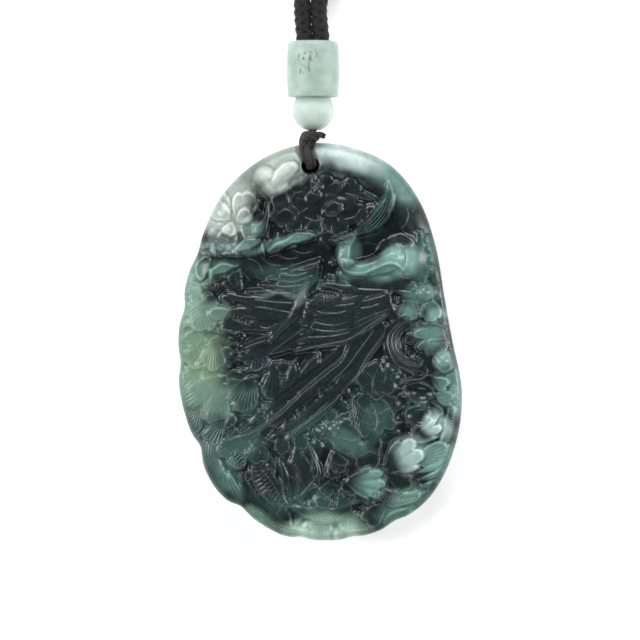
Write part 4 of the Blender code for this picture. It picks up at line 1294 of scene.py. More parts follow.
        # The real stone has more and finer lines than these.
        feathers = (
            ((10.2, 4.3), (7.2, 2.4), (4.3, 0.4), (1.4, -0.3), (-1.4, -0.9), (-3.8, -1.6)),
            ((10.0, 3.9), (7.4, 2.0), (5.2, 0.8)), ((4.0, 3.0), (2.6, 2.5), (0.8, 2.5), (-1.0, 2.9)),
            ((4.3, 2.0), (2.4, 1.6), (0.4, 1.6), (-1.2, 1.9)),
            ((4.4, 1.4), (2.2, 0.9), (0.0, 0.7), (-2.0, 0.6)),
            ((4.2, 4.6), (2.4, 4.2), (0.6, 4.2), (-0.6, 4.5)), ((5.2, 5.7), (3.6, 5.4), (2.0, 5.3)),
            ((5.6, 6.8), (4.2, 6.3), (3.2, 6.1)), ((9.6, 6.8), (7.8, 6.3), (6.2, 5.9)),
            ((8.8, 5.6), (7.2, 5.1), (5.8, 4.9)),
            ((10.4, 4.9), (8.4, 4.2), (6.4, 3.4), (5.2, 2.8)), ((9.6, 4.2), (7.4, 3.2), (5.2, 2.0)))
        wing = (
            ((-9.8, 7.6), (-7.8, 7.3), (-5.8, 7.1), (-4.0, 7.3), (-2.2, 8.3), (-0.7, 9.2)),
            ((-8.3, 8.4), (-5.4, 8.1), (-2.9, 8.3), (-1.2, 8.9)),
            ((-6.4, 9.1), (-4.1, 8.8), (-1.9, 9.5), (-0.7, 9.8)),
            ((-5.4, 9.8), (-3.4, 9.8), (-1.7, 10.3)), ((-3.4, 10.5), (-1.5, 10.8), (-0.2, 11.8)),
            ((-12.8, 1.4), (-10.4, 1.3), (-7.6, 1.1)), ((-9.0, 2.2), (-7.8, 2.0), (-6.3, 2.7)),
            ((-3.0, 4.0), (-5.4, 1.8), (-7.4, -0.2)), ((-2.2, 2.2), (-4.6, 0.4), (-7.6, -1.8)),
            ((-9.8, 6.2), (-6.8, 5.8), (-3.8, 5.7)), ((-9.8, 5.2), (-7.0, 4.8), (-4.2, 4.2)))
        plumes = (
            ((4.0, 0.0), (3.0, -2.4), (0.3, -4.6), (-2.9, -7.3), (-5.6, -9.9), (-9.6, -13.2), (-13.8, -14.6)),
            ((4.4, -0.5), (3.2, -2.9), (0.5, -5.1), (-2.6, -7.6), (-4.9, -9.9), (-8.6, -13.0)),
            ((9.3, 1.0), (6.9, -2.2), (5.4, -4.9), (3.9, -6.6), (2.0, -8.8), (-2.0, -12.0), (-5.0, -14.4)),
            ((9.6, 0.4), (7.5, -2.2), (5.9, -4.6), (4.3, -6.6)),
            ((8.0, 1.8), (5.9, -1.0), (3.9, -3.7), (1.4, -6.2)),
            ((1.0, -9.0), (-1.6, -11.4), (-4.4, -13.4)))
        rims = (
            ((-15.9, 2.8), (-15.3, 2.1), (-13.9, 1.7), (-13.0, 1.6)),
            ((-12.4, -3.7), (-11.0, -4.3), (-9.6, -4.3), (-7.4, -3.4)),
            ((-12.2, -1.8), (-10.4, -0.6), (-8.0, 0.2)), ((-5.5, -2.9), (-4.5, -3.2), (-3.2, -2.2)),
            ((-19.0, -13.0), (-18.2, -13.8), (-17.2, -13.7)),
            ((-1.8, -15.3), (-0.5, -18.6), (-0.8, -20.2), (-3.2, -23.0)),
            ((-2.2, -26.4), (0.4, -26.9), (4.0, -26.2)), ((7.2, -7.7), (8.2, -8.6), (9.4, -7.9)),
            ((4.6, -7.4), (4.8, -10.6), (5.4, -12.9), (6.4, -14.2)),
            ((-10.4, -18.7), (-9.5, -21.6), (-6.6, -24.6)))
        scrolls = (
            ((-11.0, 12.4), (-9.2, 11.6), (-8.4, 10.2)), ((-8.8, 12.6), (-7.4, 11.4), (-5.6, 11.2)),
            ((-6.6, 13.0), (-5.0, 12.2), (-3.2, 12.4)), ((-12.6, 10.8), (-11.2, 10.0), (-10.4, 8.9)),
            ((-4.4, 13.6), (-2.6, 13.0), (-1.0, 13.4)), ((-9.8, 9.8), (-8.6, 9.2), (-7.6, 9.6)),
            ((5.0, 13.6), (6.6, 14.6), (8.6, 14.2)), ((12.0, 16.6), (13.0, 18.2), (12.6, 20.0)),
            ((-3.0, 19.2), (-4.4, 20.4), (-3.8, 21.8), (-2.2, 22.2)), ((3.4, 18.0), (5.0, 18.4), (6.0, 19.6)),
            ((1.2, 22.9), (2.8, 23.6), (4.6, 23.2)), ((-8.2, 21.4), (-7.2, 20.4), (-6.6, 19.0)),
            ((5.2, -8.6), (6.6, -10.2), (8.8, -10.6), (10.4, -9.4)),
            ((5.6, -11.4), (7.4, -12.2), (9.6, -11.6)),
            ((6.0, -3.9), (7.6, -5.4), (7.8, -7.0)), ((8.4, -3.4), (9.6, -4.6), (9.4, -6.2)),
            ((-2.4, -15.9), (-1.2, -17.4), (-1.6, -19.6)), ((1.0, -17.0), (2.6, -18.2), (4.6, -17.8)),
            ((-7.4, -17.0), (-5.8, -18.6), (-5.6, -20.6)), ((5.6, -17.0), (7.4, -16.2), (9.0, -17.0)))
        hatches = (
            (0.45, ((-0.5, 6.6), (0.9, 6.8), (2.4, 6.6))), (0.55, ((-13.2, 3.9), (-12.0, 3.4), (-10.4, 2.6))),
            (0.6, ((-8.6, -18.6), (-8.0, -20.2), (-7.0, -21.8), (-5.8, -23.4))),
            (0.5, ((-13.0, -16.4), (-12.0, -17.2), (-11.2, -18.2))),
            (0.45, ((8.8, -23.0), (10.8, -23.4), (13.6, -23.0))))
        return [
            Ridge(0.34, -0.12, ((5.6, 6.7), (4.9, 3.6), (4.3, 0.6))),
            Ridge(0.34, -0.12, ((-0.7, 4.0), (-1.7, 2.2), (-3.4, 0.0))),
            *[Line(0.11, line) for line in (*feathers[1:], *wing)],
            *[Line(0.22, line) for line in (feathers[0], *plumes)],
            *[Line(0.2, line) for line in rims], *[Line(0.08, line) for line in scrolls],
            *[Band((0.2, 0.6, 0.6, 0.2), 0, hatch, Cut.HATCH, pitch, 0.08, flat=True)
              for pitch, hatch in hatches],
        ]

    def carve(self, relief: Relief) -> None:
        """Carve all the forms, from back to front, the dark ones low.

        Args:
            relief: The sheet that they are cut into.
        """
        low = (self.foliage(relief), self.dark_peony(), self.low_leaves(), self.left_blossoms(),
               self.low_blossom(), self.upper_wing(), self.tail(), self.near_wing())
        high = (self.fine_lines(), self.bright_lobes(), self.right_edge(), self.white_peony(),
                self.pale_leaves(), self.bird())
        for group in low:
            for form in group:
                form.carve(relief)
        if relief.rows > 1:
            relief.height = evened(relief.height, relief.rows, 2)
        relief.settle(self.low_share)
        for group in high:
            for form in group:
                form.carve(relief)


@dataclass(frozen=True)
class Cloud:
    """A soft zone of another colour in the stone, in millimetres."""

    x: float
    y: float
    across: float
    along: float
    turn: float
    colour: str
    strength: float = 1.0

    def cover(self, x: np.ndarray, y: np.ndarray) -> np.ndarray:
        """How strongly the zone shows at each place.

        Args:
            x: Places across, in millimetres.
            y: Places along, in millimetres.

        Returns:
            Its strength, from 0 to 1.
        """
        u, v = turned(x - self.x, y - self.y, self.turn)
        return self.strength * ramp(1.35 - np.hypot(u / self.across, v / self.along))


@dataclass
class StoneClouds:
    """Where the stone is paler or darker, each zone over those before it in the list, with painted light and
    shade on the carving.
    """

    # dark is the tone of low places and raised that of raised ones: raised places are painted lighter, as
    # painted light and shade.
    dark: str = "151f20"
    raised: str = "2b3738"
    warp: float = 1.1
    warp_mm: float = 3.2
    fray: float = 0.12
    fray_mm: float = 1.4
    cast: tuple[float, float, float] = (0.95, 1.01, 1.0)
    # How strongly edges above their neighbours are painted lighter, as painted highlight.
    painted_edge_highlight: float = 0.9
    edge_mm: float = 0.08
    clouds: tuple[Cloud, ...] = tuple(Cloud(*row) for row in (
        (-19.7, 8.0, 3.2, 9.0, 8, "8bab9b"), (-19.8, -4.0, 5.4, 9.0, -6, "7d9a85"),
        (-17.0, -3.4, 2.6, 4.6, -10, "8ba281", 0.6), (-10.6, -12.6, 4.6, 2.2, 24, "2f4744", 0.8),
        (0.0, -13.0, 6.0, 2.8, 20, "37524f", 0.8), (-8.0, -17.0, 5.0, 2.0, -10, "2b3f3d", 0.7),
        (6.0, -10.0, 3.0, 4.0, 0, "263a3a", 0.7), (-2.0, -23.6, 6.4, 2.4, 0, "44625b", 0.75),
        (-8.6, -4.4, 3.6, 2.6, 10, "26393a", 0.7), (13.6, -9.6, 2.6, 2.2, 0, "2c4542", 0.7),
        (-17.0, -15.0, 3.4, 6.0, 25, "4e655f", 0.9), (-14.6, 22.8, 5.4, 5.2, 40, "b2bab2"),
        (-6.0, 26.9, 6.0, 3.0, 10, "bcc5bd"), (5.0, 27.8, 7.6, 2.5, -14, "d2e0dc"),
        (12.0, 23.4, 2.8, 5.2, 52, "7d9c95"), (16.2, 17.0, 1.6, 5.4, 20, "3a4a47", 0.95),
        (-13.9, 18.9, 3.9, 3.4, 30, "c4ccc6"), (-9.9, 17.0, 1.8, 1.6, 0, "7f9a94", 0.8),
        (-6.4, 24.3, 3.0, 1.5, 35, "dbe2dd"), (-13.0, 14.0, 5.6, 1.1, 4, "86a097", 0.85),
        (-4.6, 14.9, 4.2, 0.9, 14, "6f9087", 0.9), (-15.8, 10.8, 3.4, 1.3, 8, "6d8a80", 0.85),
        (-5.0, 9.4, 5.6, 1.5, -18, "3d5a53", 0.8), (-5.6, 7.3, 4.6, 0.4, 4, "6d7c78", 0.7),
        (-3.0, 7.0, 0.8, 1.6, -30, "7a8985", 0.7), (8.4, 19.0, 1.2, 4.6, -32, "3f5c57", 0.7),
        (10.6, 21.6, 0.5, 2.6, -5, "7c968e", 0.7), (4.0, 13.6, 1.4, 2.2, 0, "7ea197", 0.9),
        (8.0, 10.5, 5.6, 1.5, 8, "749a8f", 0.95), (12.6, 11.9, 2.9, 2.3, 0, "8fb5aa"),
        (15.6, 12.4, 1.6, 4.0, 4, "54736e", 0.9), (15.2, 7.2, 2.6, 2.2, 0, "5f817a", 0.9),
        (13.4, 4.2, 1.5, 1.5, 0, "6e918a", 0.85), (16.8, 4.2, 1.5, 1.4, 0, "90b0a8", 0.9),
        (16.2, 0.6, 2.3, 2.2, 0, "6f918a", 0.95), (18.5, -2.9, 1.7, 1.7, 0, "7a9a94"),
        (18.6, -7.0, 2.0, 3.2, 0, "6f928b", 0.95), (18.0, 12.6, 1.0, 6.0, 12, "39443f", 0.9),
        (19.3, 5.0, 0.9, 6.4, 9, "46534f", 0.9), (20.5, -7.2, 1.1, 4.4, 0, "85a39d"),
        (20.4, -15.4, 0.8, 3.6, -12, "3d4a48", 0.9), (9.4, -6.0, 2.6, 3.6, 0, "2b3d3b", 0.7),
        (8.2, -12.0, 2.6, 2.8, 0, "42605b", 0.75), (4.0, -14.8, 3.6, 1.9, -16, "56766f", 0.85),
        (17.2, -12.4, 2.0, 1.9, 0, "b4cbc4"), (13.2, -16.6, 2.6, 2.7, 20, "b4cac4"),
        (17.4, -17.4, 2.8, 3.2, 0, "84a9a1", 0.95), (7.2, -21.0, 2.6, 2.2, 0, "7a9f94", 0.9),
        (13.0, -24.0, 5.0, 2.3, 26, "71978a", 0.9), (0.5, -28.2, 7.4, 1.7, 0, "bdd6c4"),
        (2.0, -26.6, 4.6, 1.3, 0, "8fae9d", 0.9), (-9.0, -26.8, 6.0, 1.5, -24, "789a88", 0.9),
        (-13.8, -19.6, 1.8, 4.4, 30, "5f8077", 0.85), (-11.6, -16.4, 3.0, 2.2, 0, "46605a", 0.8),
        (-4.0, -20.0, 3.6, 3.2, 0, "23302f", 0.6), (-16.0, 4.2, 2.2, 2.0, 0, "7b958a", 0.8),
        # The dark zone at (-1.3, 25.2), just below the thread hole, is painted shade.
        (-1.3, 25.2, 1.5, 0.9, 0, "2a3535", 0.8), (-13.0, -7.6, 2.2, 4.0, 20, "56756b", 0.4),
        (-12.4, -15.4, 4.2, 2.2, 10, "4a6862", 0.8), (-16.4, -8.6, 3.0, 3.6, 30, "7f9c90", 0.7),
        (-9.6, -8.6, 2.8, 2.4, 20, "385550", 0.7),
    ))

    def paint(self, relief: Relief) -> np.ndarray:
        """The stone's colour at each place of the relief, with painted light and shade on the carving.

        Args:
            relief: The finished carving.

        Returns:
            Linear red, green and blue, one row for each place.
        """
        x = relief.x + self.warp * cloud_noise(relief.x, relief.y, self.warp_mm, 3)
        y = relief.y + self.warp * cloud_noise(relief.x, relief.y, self.warp_mm, 7)
        # Painted light and shade: places that stand above the ground are painted lighter, low places darker.
        stand = np.clip((relief.height - relief.ground + 0.3) / 1.2, 0, 1)[:, None]
        colour = np.array(linear(self.dark)) * (1 - stand) + np.array(linear(self.raised)) * stand
        for cloud in self.clouds:
            shown = cloud.cover(x, y)[:, None]
            frayed = shown + self.fray * cloud_noise(x, y, self.fray_mm, 21)[:, None]
            cover = np.clip(frayed, 0, 1) * (shown > 0.001)
            colour = colour * (1 - cover) + np.array(linear(cloud.colour)) * cover
        colour = colour * np.array(self.cast)
        # Painted highlight and shade: edges above their neighbours' mean are painted lighter, with a small
        # added glow, and places sunk below it darker, as painted shade in creases.
        edge = (relief.height - evened(relief.height, relief.rows, 3)) / self.edge_mm
        edge = edge * (0.35 + 0.65 * ramp(0.5 + 1.6 * cloud_noise(relief.x, relief.y, 2.6, 5)))
        thin = np.clip(edge, 0, 1)[:, None]
        deep = np.clip(-edge, 0, 1)[:, None]
        return colour * (1 + self.painted_edge_highlight * thin * (1 - 0.7 * colour)) * (1 - 0.3 * deep) + 0.006 * thin


# Pieces


@dataclass
class JadePlaque:
    """The carved plaque, one solid stone with its hole and the channel behind it.

    The hole has its full diameter at the height hole_face, and hole_waist where it meets the channel.
    """

    width: float = 42.0
    length: float = 58.7
    edge_rounding: float = 1.1
    columns: int = 244
    rows: int = 344
    hole_x: float = -1.5
    hole_from_top: float = 3.2
    hole_diameter: float = 2.2
    hole_waist: float = 1.7
    hole_face: float = 4.3
    hole_colour: str = "2b3735"
    seat_width: float = 3.0
    seat_depth: float = 0.8
    seat_shift: float = 0.9
    channel_depth: float = 2.4
    channel_rounding: float = 0.8
    finish: CarvedJade = field(default_factory=CarvedJade)
    carving: PhoenixCarving = field(default_factory=PhoenixCarving)
    clouds: StoneClouds = field(default_factory=StoneClouds)

    @property
    def hole_y(self) -> float:
        """Where the thread hole is along the plaque."""
        return self.length / 2 - self.hole_from_top

    def seat_x(self, y: np.ndarray | float) -> np.ndarray:
        """The middle of the front groove.

        Args:
            y: Places along the plaque, in millimetres.

        Returns:
            Where the middle is across, in millimetres.
        """
        share = (np.asarray(y) - self.hole_y) / (self.hole_from_top * 0.8)
        return self.hole_x - self.seat_shift * ramp(share)

    def seat(self, x: np.ndarray, y: np.ndarray) -> np.ndarray:
        """How deep the front groove is that the thread lies in.

        Args:
            x: Places across, in millimetres.
            y: Places along, in millimetres.

        Returns:
            The depth, in millimetres.
        """
        across = np.clip(1 - ((x - self.seat_x(y)) * 2 / self.seat_width) ** 2, 0, 1)
        radius = self.hole_diameter / 2
        return self.seat_depth * across * ramp((y - self.hole_y + radius) / radius)

    def sheet_places(self) -> tuple[np.ndarray, np.ndarray]:
        """Lay the square sheet of places over the round plaque.

        Returns:
            The places across and along, in millimetres.
        """
        a, b = np.meshgrid(np.linspace(-1, 1, self.columns + 1), np.linspace(-1, 1, self.rows + 1))
        wide = np.abs(a) > np.abs(b)
        safe_a, safe_b = np.where(a == 0, 1e-9, a), np.where(b == 0, 1e-9, b)
        r = np.where(wide, a, b)
        turn = np.where(wide, math.pi / 4 * b / safe_a, math.pi / 2 - math.pi / 4 * a / safe_b)
        x, y = r * np.cos(turn), r * np.sin(turn)
        inset = 1 - 2 * self.edge_rounding * 0.6 / self.width
        share = inset * outline_share(np.arctan2(y, x))
        return (x * share * self.width / 2).ravel(), (y * share * self.length / 2).ravel()

    def carve(self, x: np.ndarray, y: np.ndarray, rows: int = 1) -> Relief:
        """Carve the face at the given places.

        Args:
            x: Places across, in millimetres.
            y: Places along, in millimetres.
            rows: How many rows they have, or 1 where they are no sheet.

        Returns:
            The finished relief.
        """
        relief = Relief(x, y, self.width, self.length, rows)
        self.carving.carve(relief)
        stand = (relief.height - relief.ground) * (1 - 0.35 * ramp((relief.reach - 0.9) / 0.1))
        relief.height = relief.ground + stand * (1 - relief.smooth_side) + relief.rim - self.seat(x, y)
        return relief

    def rim_loop(self) -> np.ndarray:
        """Walk round the sheet's edge.

        Returns:
            The numbers of its outermost places, in order.
        """
        wide, high = self.columns + 1, self.rows + 1
        low = np.arange(wide)
        right = np.arange(1, high) * wide + wide - 1
        top = (high - 1) * wide + np.arange(wide - 2, -1, -1)
        left = np.arange(high - 2, 0, -1) * wide
        return np.concatenate([low, right, top, left])

    def build_mesh(self) -> bpy.types.Mesh:
        """Close the carved face, the rounded sides and the flat back into one mesh.

        Returns:
            The mesh, with the stone's colours and fine lines on it.
        """
        x, y = self.sheet_places()
        relief = self.carve(x, y, self.rows + 1)
        colour = self.clouds.paint(relief)
        relief.height = evened(relief.height, self.rows + 1, 1)
        wide = self.columns + 1
        corner = (np.arange(self.rows)[:, None] * wide + np.arange(self.columns)[None, :]).ravel()
        faces = np.stack([corner, corner + 1, corner + wide + 1, corner + wide], axis=1)
        loop = self.rim_loop()
        turn = np.arctan2(y[loop] / self.length, x[loop] / self.width)
        share = outline_share(turn)
        rounding = self.edge_rounding
        top = relief.height[loop]
        # Rings down the side: how far in each lies, as a share of the rounding, and its height
        rows = [(0.35, top - 0.28 * rounding), (0.12, top - 0.52 * rounding), (0.0, top - 0.8 * rounding),
                (0.0, top * 0.45 + 0.35 * rounding), (0.0, np.full_like(top, 0.7 * rounding)),
                (0.22, np.full_like(top, 0.22 * rounding)), (0.6, np.zeros_like(top))]
        points = [np.stack([x, y, relief.height], axis=1)]
        sides = []
        previous = loop
        for number, (inward, height) in enumerate(rows):
            reach = share * (1 - 2 * rounding * inward / self.width)
            across, along = self.width / 2 * reach * np.cos(turn), self.length / 2 * reach * np.sin(turn)
            points.append(np.stack([across, along, height], axis=1))
            current = len(x) + number * len(loop) + np.arange(len(loop))
            sides.append(np.stack([previous, current, np.roll(current, -1), np.roll(previous, -1)], axis=1))
            previous = current
        mesh = bpy.data.meshes.new("carved_plaque")
        all_faces = np.concatenate([faces, *sides]).tolist()
        mesh.from_pydata((np.concatenate(points) * MM).tolist(), [], [*all_faces, previous[::-1].tolist()])
        self.keep_values(mesh, relief, np.concatenate([colour, *[colour[loop]] * len(rows)]))
        mesh.validate()
        return mesh

    def keep_values(self, mesh: bpy.types.Mesh, relief: Relief, colour: np.ndarray) -> None:
        """Keep the stone's colours and fine lines on the mesh, where the finish reads them.

        Args:
            mesh: The plaque's mesh.
            relief: The carving, whose places come first in the mesh.
            colour: Red, green and blue for each place of the mesh.
        """
        layer = mesh.color_attributes.new(self.finish.attribute, "FLOAT_COLOR", "POINT")
        opaque = np.column_stack([colour, np.ones(len(colour))])
        layer.data.foreach_set("color", opaque.astype(np.float32).ravel())
        for name in ("rib_turns", "rib_depth", "line_side", "line_height"):
            values = getattr(relief, name)
            held = np.zeros(len(colour), np.float32)
            held[:len(values)] = values
            mesh.attributes.new(name, "FLOAT", "POINT").data.foreach_set("value", held)

    def cutters(self) -> list[bpy.types.Object]:
        """Make the drill for the hole and the block for the channel in the back.

        Returns:
            Both, the drill first.
        """
        below, above = 2, 4
        made = []
        drill = bmesh.new()
        radius = self.hole_diameter / 2 * MM
        deep, face = (self.channel_depth - below) * MM, (self.hole_face + above) * MM
        slope = (self.hole_diameter - self.hole_waist) / 2 / (self.hole_face - self.channel_depth)
        bmesh.ops.create_cone(drill, cap_ends=True, segments=48, depth=face - deep,
                              radius1=self.hole_waist / 2 * MM - below * MM * slope,
                              radius2=radius + above * MM * slope)
        for vert in drill.verts:
            vert.co.y += radius - math.hypot(vert.co.x, vert.co.y)
        bmesh.ops.translate(drill, verts=drill.verts,
                            vec=(self.hole_x * MM, self.hole_y * MM, (deep + face) / 2))
        length = self.hole_from_top + self.hole_diameter
        block = bmesh.new()
        bmesh.ops.create_cube(block, size=1.0)
        bmesh.ops.scale(block, verts=block.verts,
                        vec=(self.hole_diameter * MM, length * MM, 2 * self.channel_depth * MM))
        bmesh.ops.translate(block, verts=block.verts,
                            vec=(self.hole_x * MM, (self.hole_y + length / 2) * MM, 0))
        edges = [e for e in block.edges if all(v.co.z > 0 for v in e.verts)
                 and abs(e.verts[0].co.x - e.verts[1].co.x) < 0.01 * MM]
        bmesh.ops.bevel(block, geom=edges, offset=self.channel_rounding * MM, segments=5, affect="EDGES",
                        profile=0.5)
        for name, work in (("thread_drill", drill), ("thread_block", block)):
            mesh = bpy.data.meshes.new(name)
            work.to_mesh(mesh)
            work.free()
            made.append(put(name, mesh))
        return made

    def tint_cuts(self, mesh: bpy.types.Mesh) -> None:
        """Give the walls of the hole and the channel the stone's colour, where the cut left them blank white.

        Args:
            mesh: The plaque's mesh, cut.
        """
        layer = mesh.color_attributes[self.finish.attribute]
        colours = np.empty(len(mesh.vertices) * 4, np.float32)
        layer.data.foreach_get("color", colours)
        colours = colours.reshape(-1, 4)
        blank = (colours > 0.999).all(axis=1)
        log.info("%d places of the cuts tinted", int(blank.sum()))
        colours[blank] = (*linear(self.hole_colour), 1.0)
        layer.data.foreach_set("color", colours.ravel())

    def build(self) -> bpy.types.Object:
        """Build the plaque, cut its hole and dress it.

        Returns:
            The plaque.
        """
        piece = add_object("carved_plaque", self.build_mesh(), self.finish.build(), 180)
        cutters = self.cutters()
        for cutter in cutters:
            boolean = piece.modifiers.new(cutter.name, "BOOLEAN")
            boolean.operation = "DIFFERENCE"
            boolean.object = cutter
        depsgraph = bpy.context.evaluated_depsgraph_get()
        mesh = bpy.data.meshes.new_from_object(piece.evaluated_get(depsgraph))
        piece.modifiers.clear()
        piece.data = mesh
        self.tint_cuts(mesh)
        mesh.shade_smooth()
        mesh.set_sharp_from_angle(angle=math.radians(75))
        for cutter in cutters:
            bpy.data.objects.remove(cutter)
        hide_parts("jade_plaque")
        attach(piece, "root")
        return piece


@dataclass
class StrandTree:
    """The node tree that winds or braids strands along a path."""

    name: str = "strands along a path"

    def build(self) -> bpy.types.GeometryNodeTree:
        """Make the tree, with its sizes as named inputs.

        Returns:
            The tree.
        """
        tree = bpy.data.node_groups.new(self.name, "GeometryNodeTree")
        tree.interface.new_socket("Path", in_out="INPUT", socket_type="NodeSocketGeometry")
        tree.interface.new_socket("Strands", in_out="OUTPUT", socket_type="NodeSocketGeometry")
        kinds = {"Count": "Int", "Pitch": "Float", "Lay Radius": "Float", "Weave": "Float",
                 "Strand Radius": "Float",
                 "Step": "Float", "Braided": "Bool", "Sides": "Int", "Material": "Material"}
        for label, kind in kinds.items():
            tree.interface.new_socket(label, in_out="INPUT", socket_type="NodeSocket" + kind)
        given = add_node(tree, "NodeGroupInput").outputs
        curve = add_node(tree, "GeometryNodeMeshToCurve", {"Mesh": given["Path"]})
        even = add_node(tree, "GeometryNodeResampleCurve", {
            "Curve": curve.outputs["Curve"], "Length": given["Step"]}, mode="LENGTH")
        many = add_node(tree, "GeometryNodeDuplicateElements", {
            "Geometry": even.outputs["Curve"], "Amount": given["Count"]}, domain="SPLINE")
        number = many.outputs["Duplicate Index"]
        along = add_node(tree, "GeometryNodeSplineParameter").outputs["Length"]
        marked = add_node(tree, "GeometryNodeStoreNamedAttribute", {
            "Geometry": many.outputs["Geometry"], "Name": "strand_along", "Value": along},
            data_type="FLOAT", domain="POINT")
        moved = add_node(tree, "GeometryNodeSetPosition", {
            "Geometry": marked.outputs["Geometry"], "Offset": self.offset(tree, given, number, along)})
        ring = add_node(tree, "GeometryNodeCurvePrimitiveCircle", {
            "Resolution": given["Sides"], "Radius": given["Strand Radius"]}, mode="RADIUS")
        ring_place = add_node(tree, "GeometryNodeSplineParameter")
        ring_marked = add_node(tree, "GeometryNodeStoreNamedAttribute", {
            "Geometry": ring.outputs["Curve"], "Name": "strand_around",
            "Value": ring_place.outputs["Factor"]},
            data_type="FLOAT", domain="POINT")
        solid = add_node(tree, "GeometryNodeCurveToMesh", {
            "Curve": moved.outputs["Geometry"], "Profile Curve": ring_marked.outputs["Geometry"],
            "Fill Caps": True})
        real = add_node(tree, "GeometryNodeRealizeInstances", {"Geometry": solid.outputs["Mesh"]})
        dressed = add_node(tree, "GeometryNodeSetMaterial", {
            "Geometry": real.outputs["Geometry"], "Material": given["Material"]})
        add_node(tree, "NodeGroupOutput", {"Strands": dressed.outputs["Geometry"]})
        return tree

    def offset(self, tree: Tree, given: bpy.types.NodeOutputs, number: Socket,
               along: Socket) -> Socket:
        """How far each strand lies off the path, as it winds round it and weaves in and out.

        Args:
            tree: The tree.
            given: The tree's named inputs.
            number: Which strand it is. In a braid each second one winds the other way.
            along: How far along the path a point is.

        Returns:
            The offset.
        """
        odd = compute(tree, "MULTIPLY", compute(tree, "MODULO", number, 2.0), given["Braided"])
        way = compute(tree, "MULTIPLY_ADD", odd, -2.0, 1.0)
        pair = compute(tree, "MULTIPLY", compute(tree, "FLOOR", compute(tree, "DIVIDE", number, 2.0)), 2.0)
        start = add_node(tree, "ShaderNodeMix", {
            "Factor": given["Braided"], 2: compute(tree, "DIVIDE", number, given["Count"]),
            3: compute(tree, "DIVIDE", pair, given["Count"])}, data_type="FLOAT").outputs[0]
        turns = compute(tree, "DIVIDE", along, given["Pitch"])
        share = compute(tree, "ADD", compute(tree, "MULTIPLY", turns, way), start)
        angle = compute(tree, "MULTIPLY", share, 2 * math.pi)
        beat = compute(tree, "MULTIPLY", compute(tree, "MULTIPLY", turns, given["Count"]), math.pi)
        side = compute(tree, "MULTIPLY", compute(tree, "COSINE", beat), way)
        radius = compute(tree, "MULTIPLY_ADD", side, given["Weave"], given["Lay Radius"])
        normal = add_node(tree, "GeometryNodeInputNormal").outputs[0]
        tangent = add_node(tree, "GeometryNodeInputTangent").outputs[0]
        binormal = compute_vector(tree, "CROSS_PRODUCT", tangent, normal)
        first = compute_vector(tree, "SCALE", normal, compute(tree, "COSINE", angle))
        second = compute_vector(tree, "SCALE", binormal, compute(tree, "SINE", angle))
        return compute_vector(tree, "SCALE", compute_vector(tree, "ADD", first, second), radius)


@dataclass
class Strands:
    """How strands lie about a path, in millimetres."""

    count: int
    pitch: float
    lay_radius: float
    strand_radius: float
    step: float
    weave: float = 0.0
    braided: bool = False
    sides: int = 6

    def wind(self, name: str, path: Sequence[Sequence[float]], tree: bpy.types.GeometryNodeTree,
             material: bpy.types.Material) -> bpy.types.Object:
        """Wind the strands along a path.

        Args:
            name: The piece's name.
            path: The path's points, in metres.
            tree: The tree that winds them.
            material: Their material.

        Returns:
            The strands as one plain mesh object.
        """
        rail = bpy.data.meshes.new(name + "_path")
        rail.from_pydata([tuple(p) for p in path], [(i, i + 1) for i in range(len(path) - 1)], [])
        carrier = put(name + "_path", rail)
        modifier = carrier.modifiers.new("strands", "NODES")
        modifier.node_group = tree
        values = {"Count": self.count, "Pitch": self.pitch * MM, "Lay Radius": self.lay_radius * MM,
                  "Weave": self.weave * MM, "Strand Radius": self.strand_radius * MM, "Step": self.step * MM,
                  "Braided": self.braided, "Sides": self.sides, "Material": material}
        for item in tree.interface.items_tree:
            if item.in_out == "INPUT" and item.name in values:
                modifier[item.identifier] = values[item.name]
        depsgraph = bpy.context.evaluated_depsgraph_get()
        mesh = bpy.data.meshes.new_from_object(carrier.evaluated_get(depsgraph))
        bpy.data.objects.remove(carrier)
        return add_object(name, mesh, material)


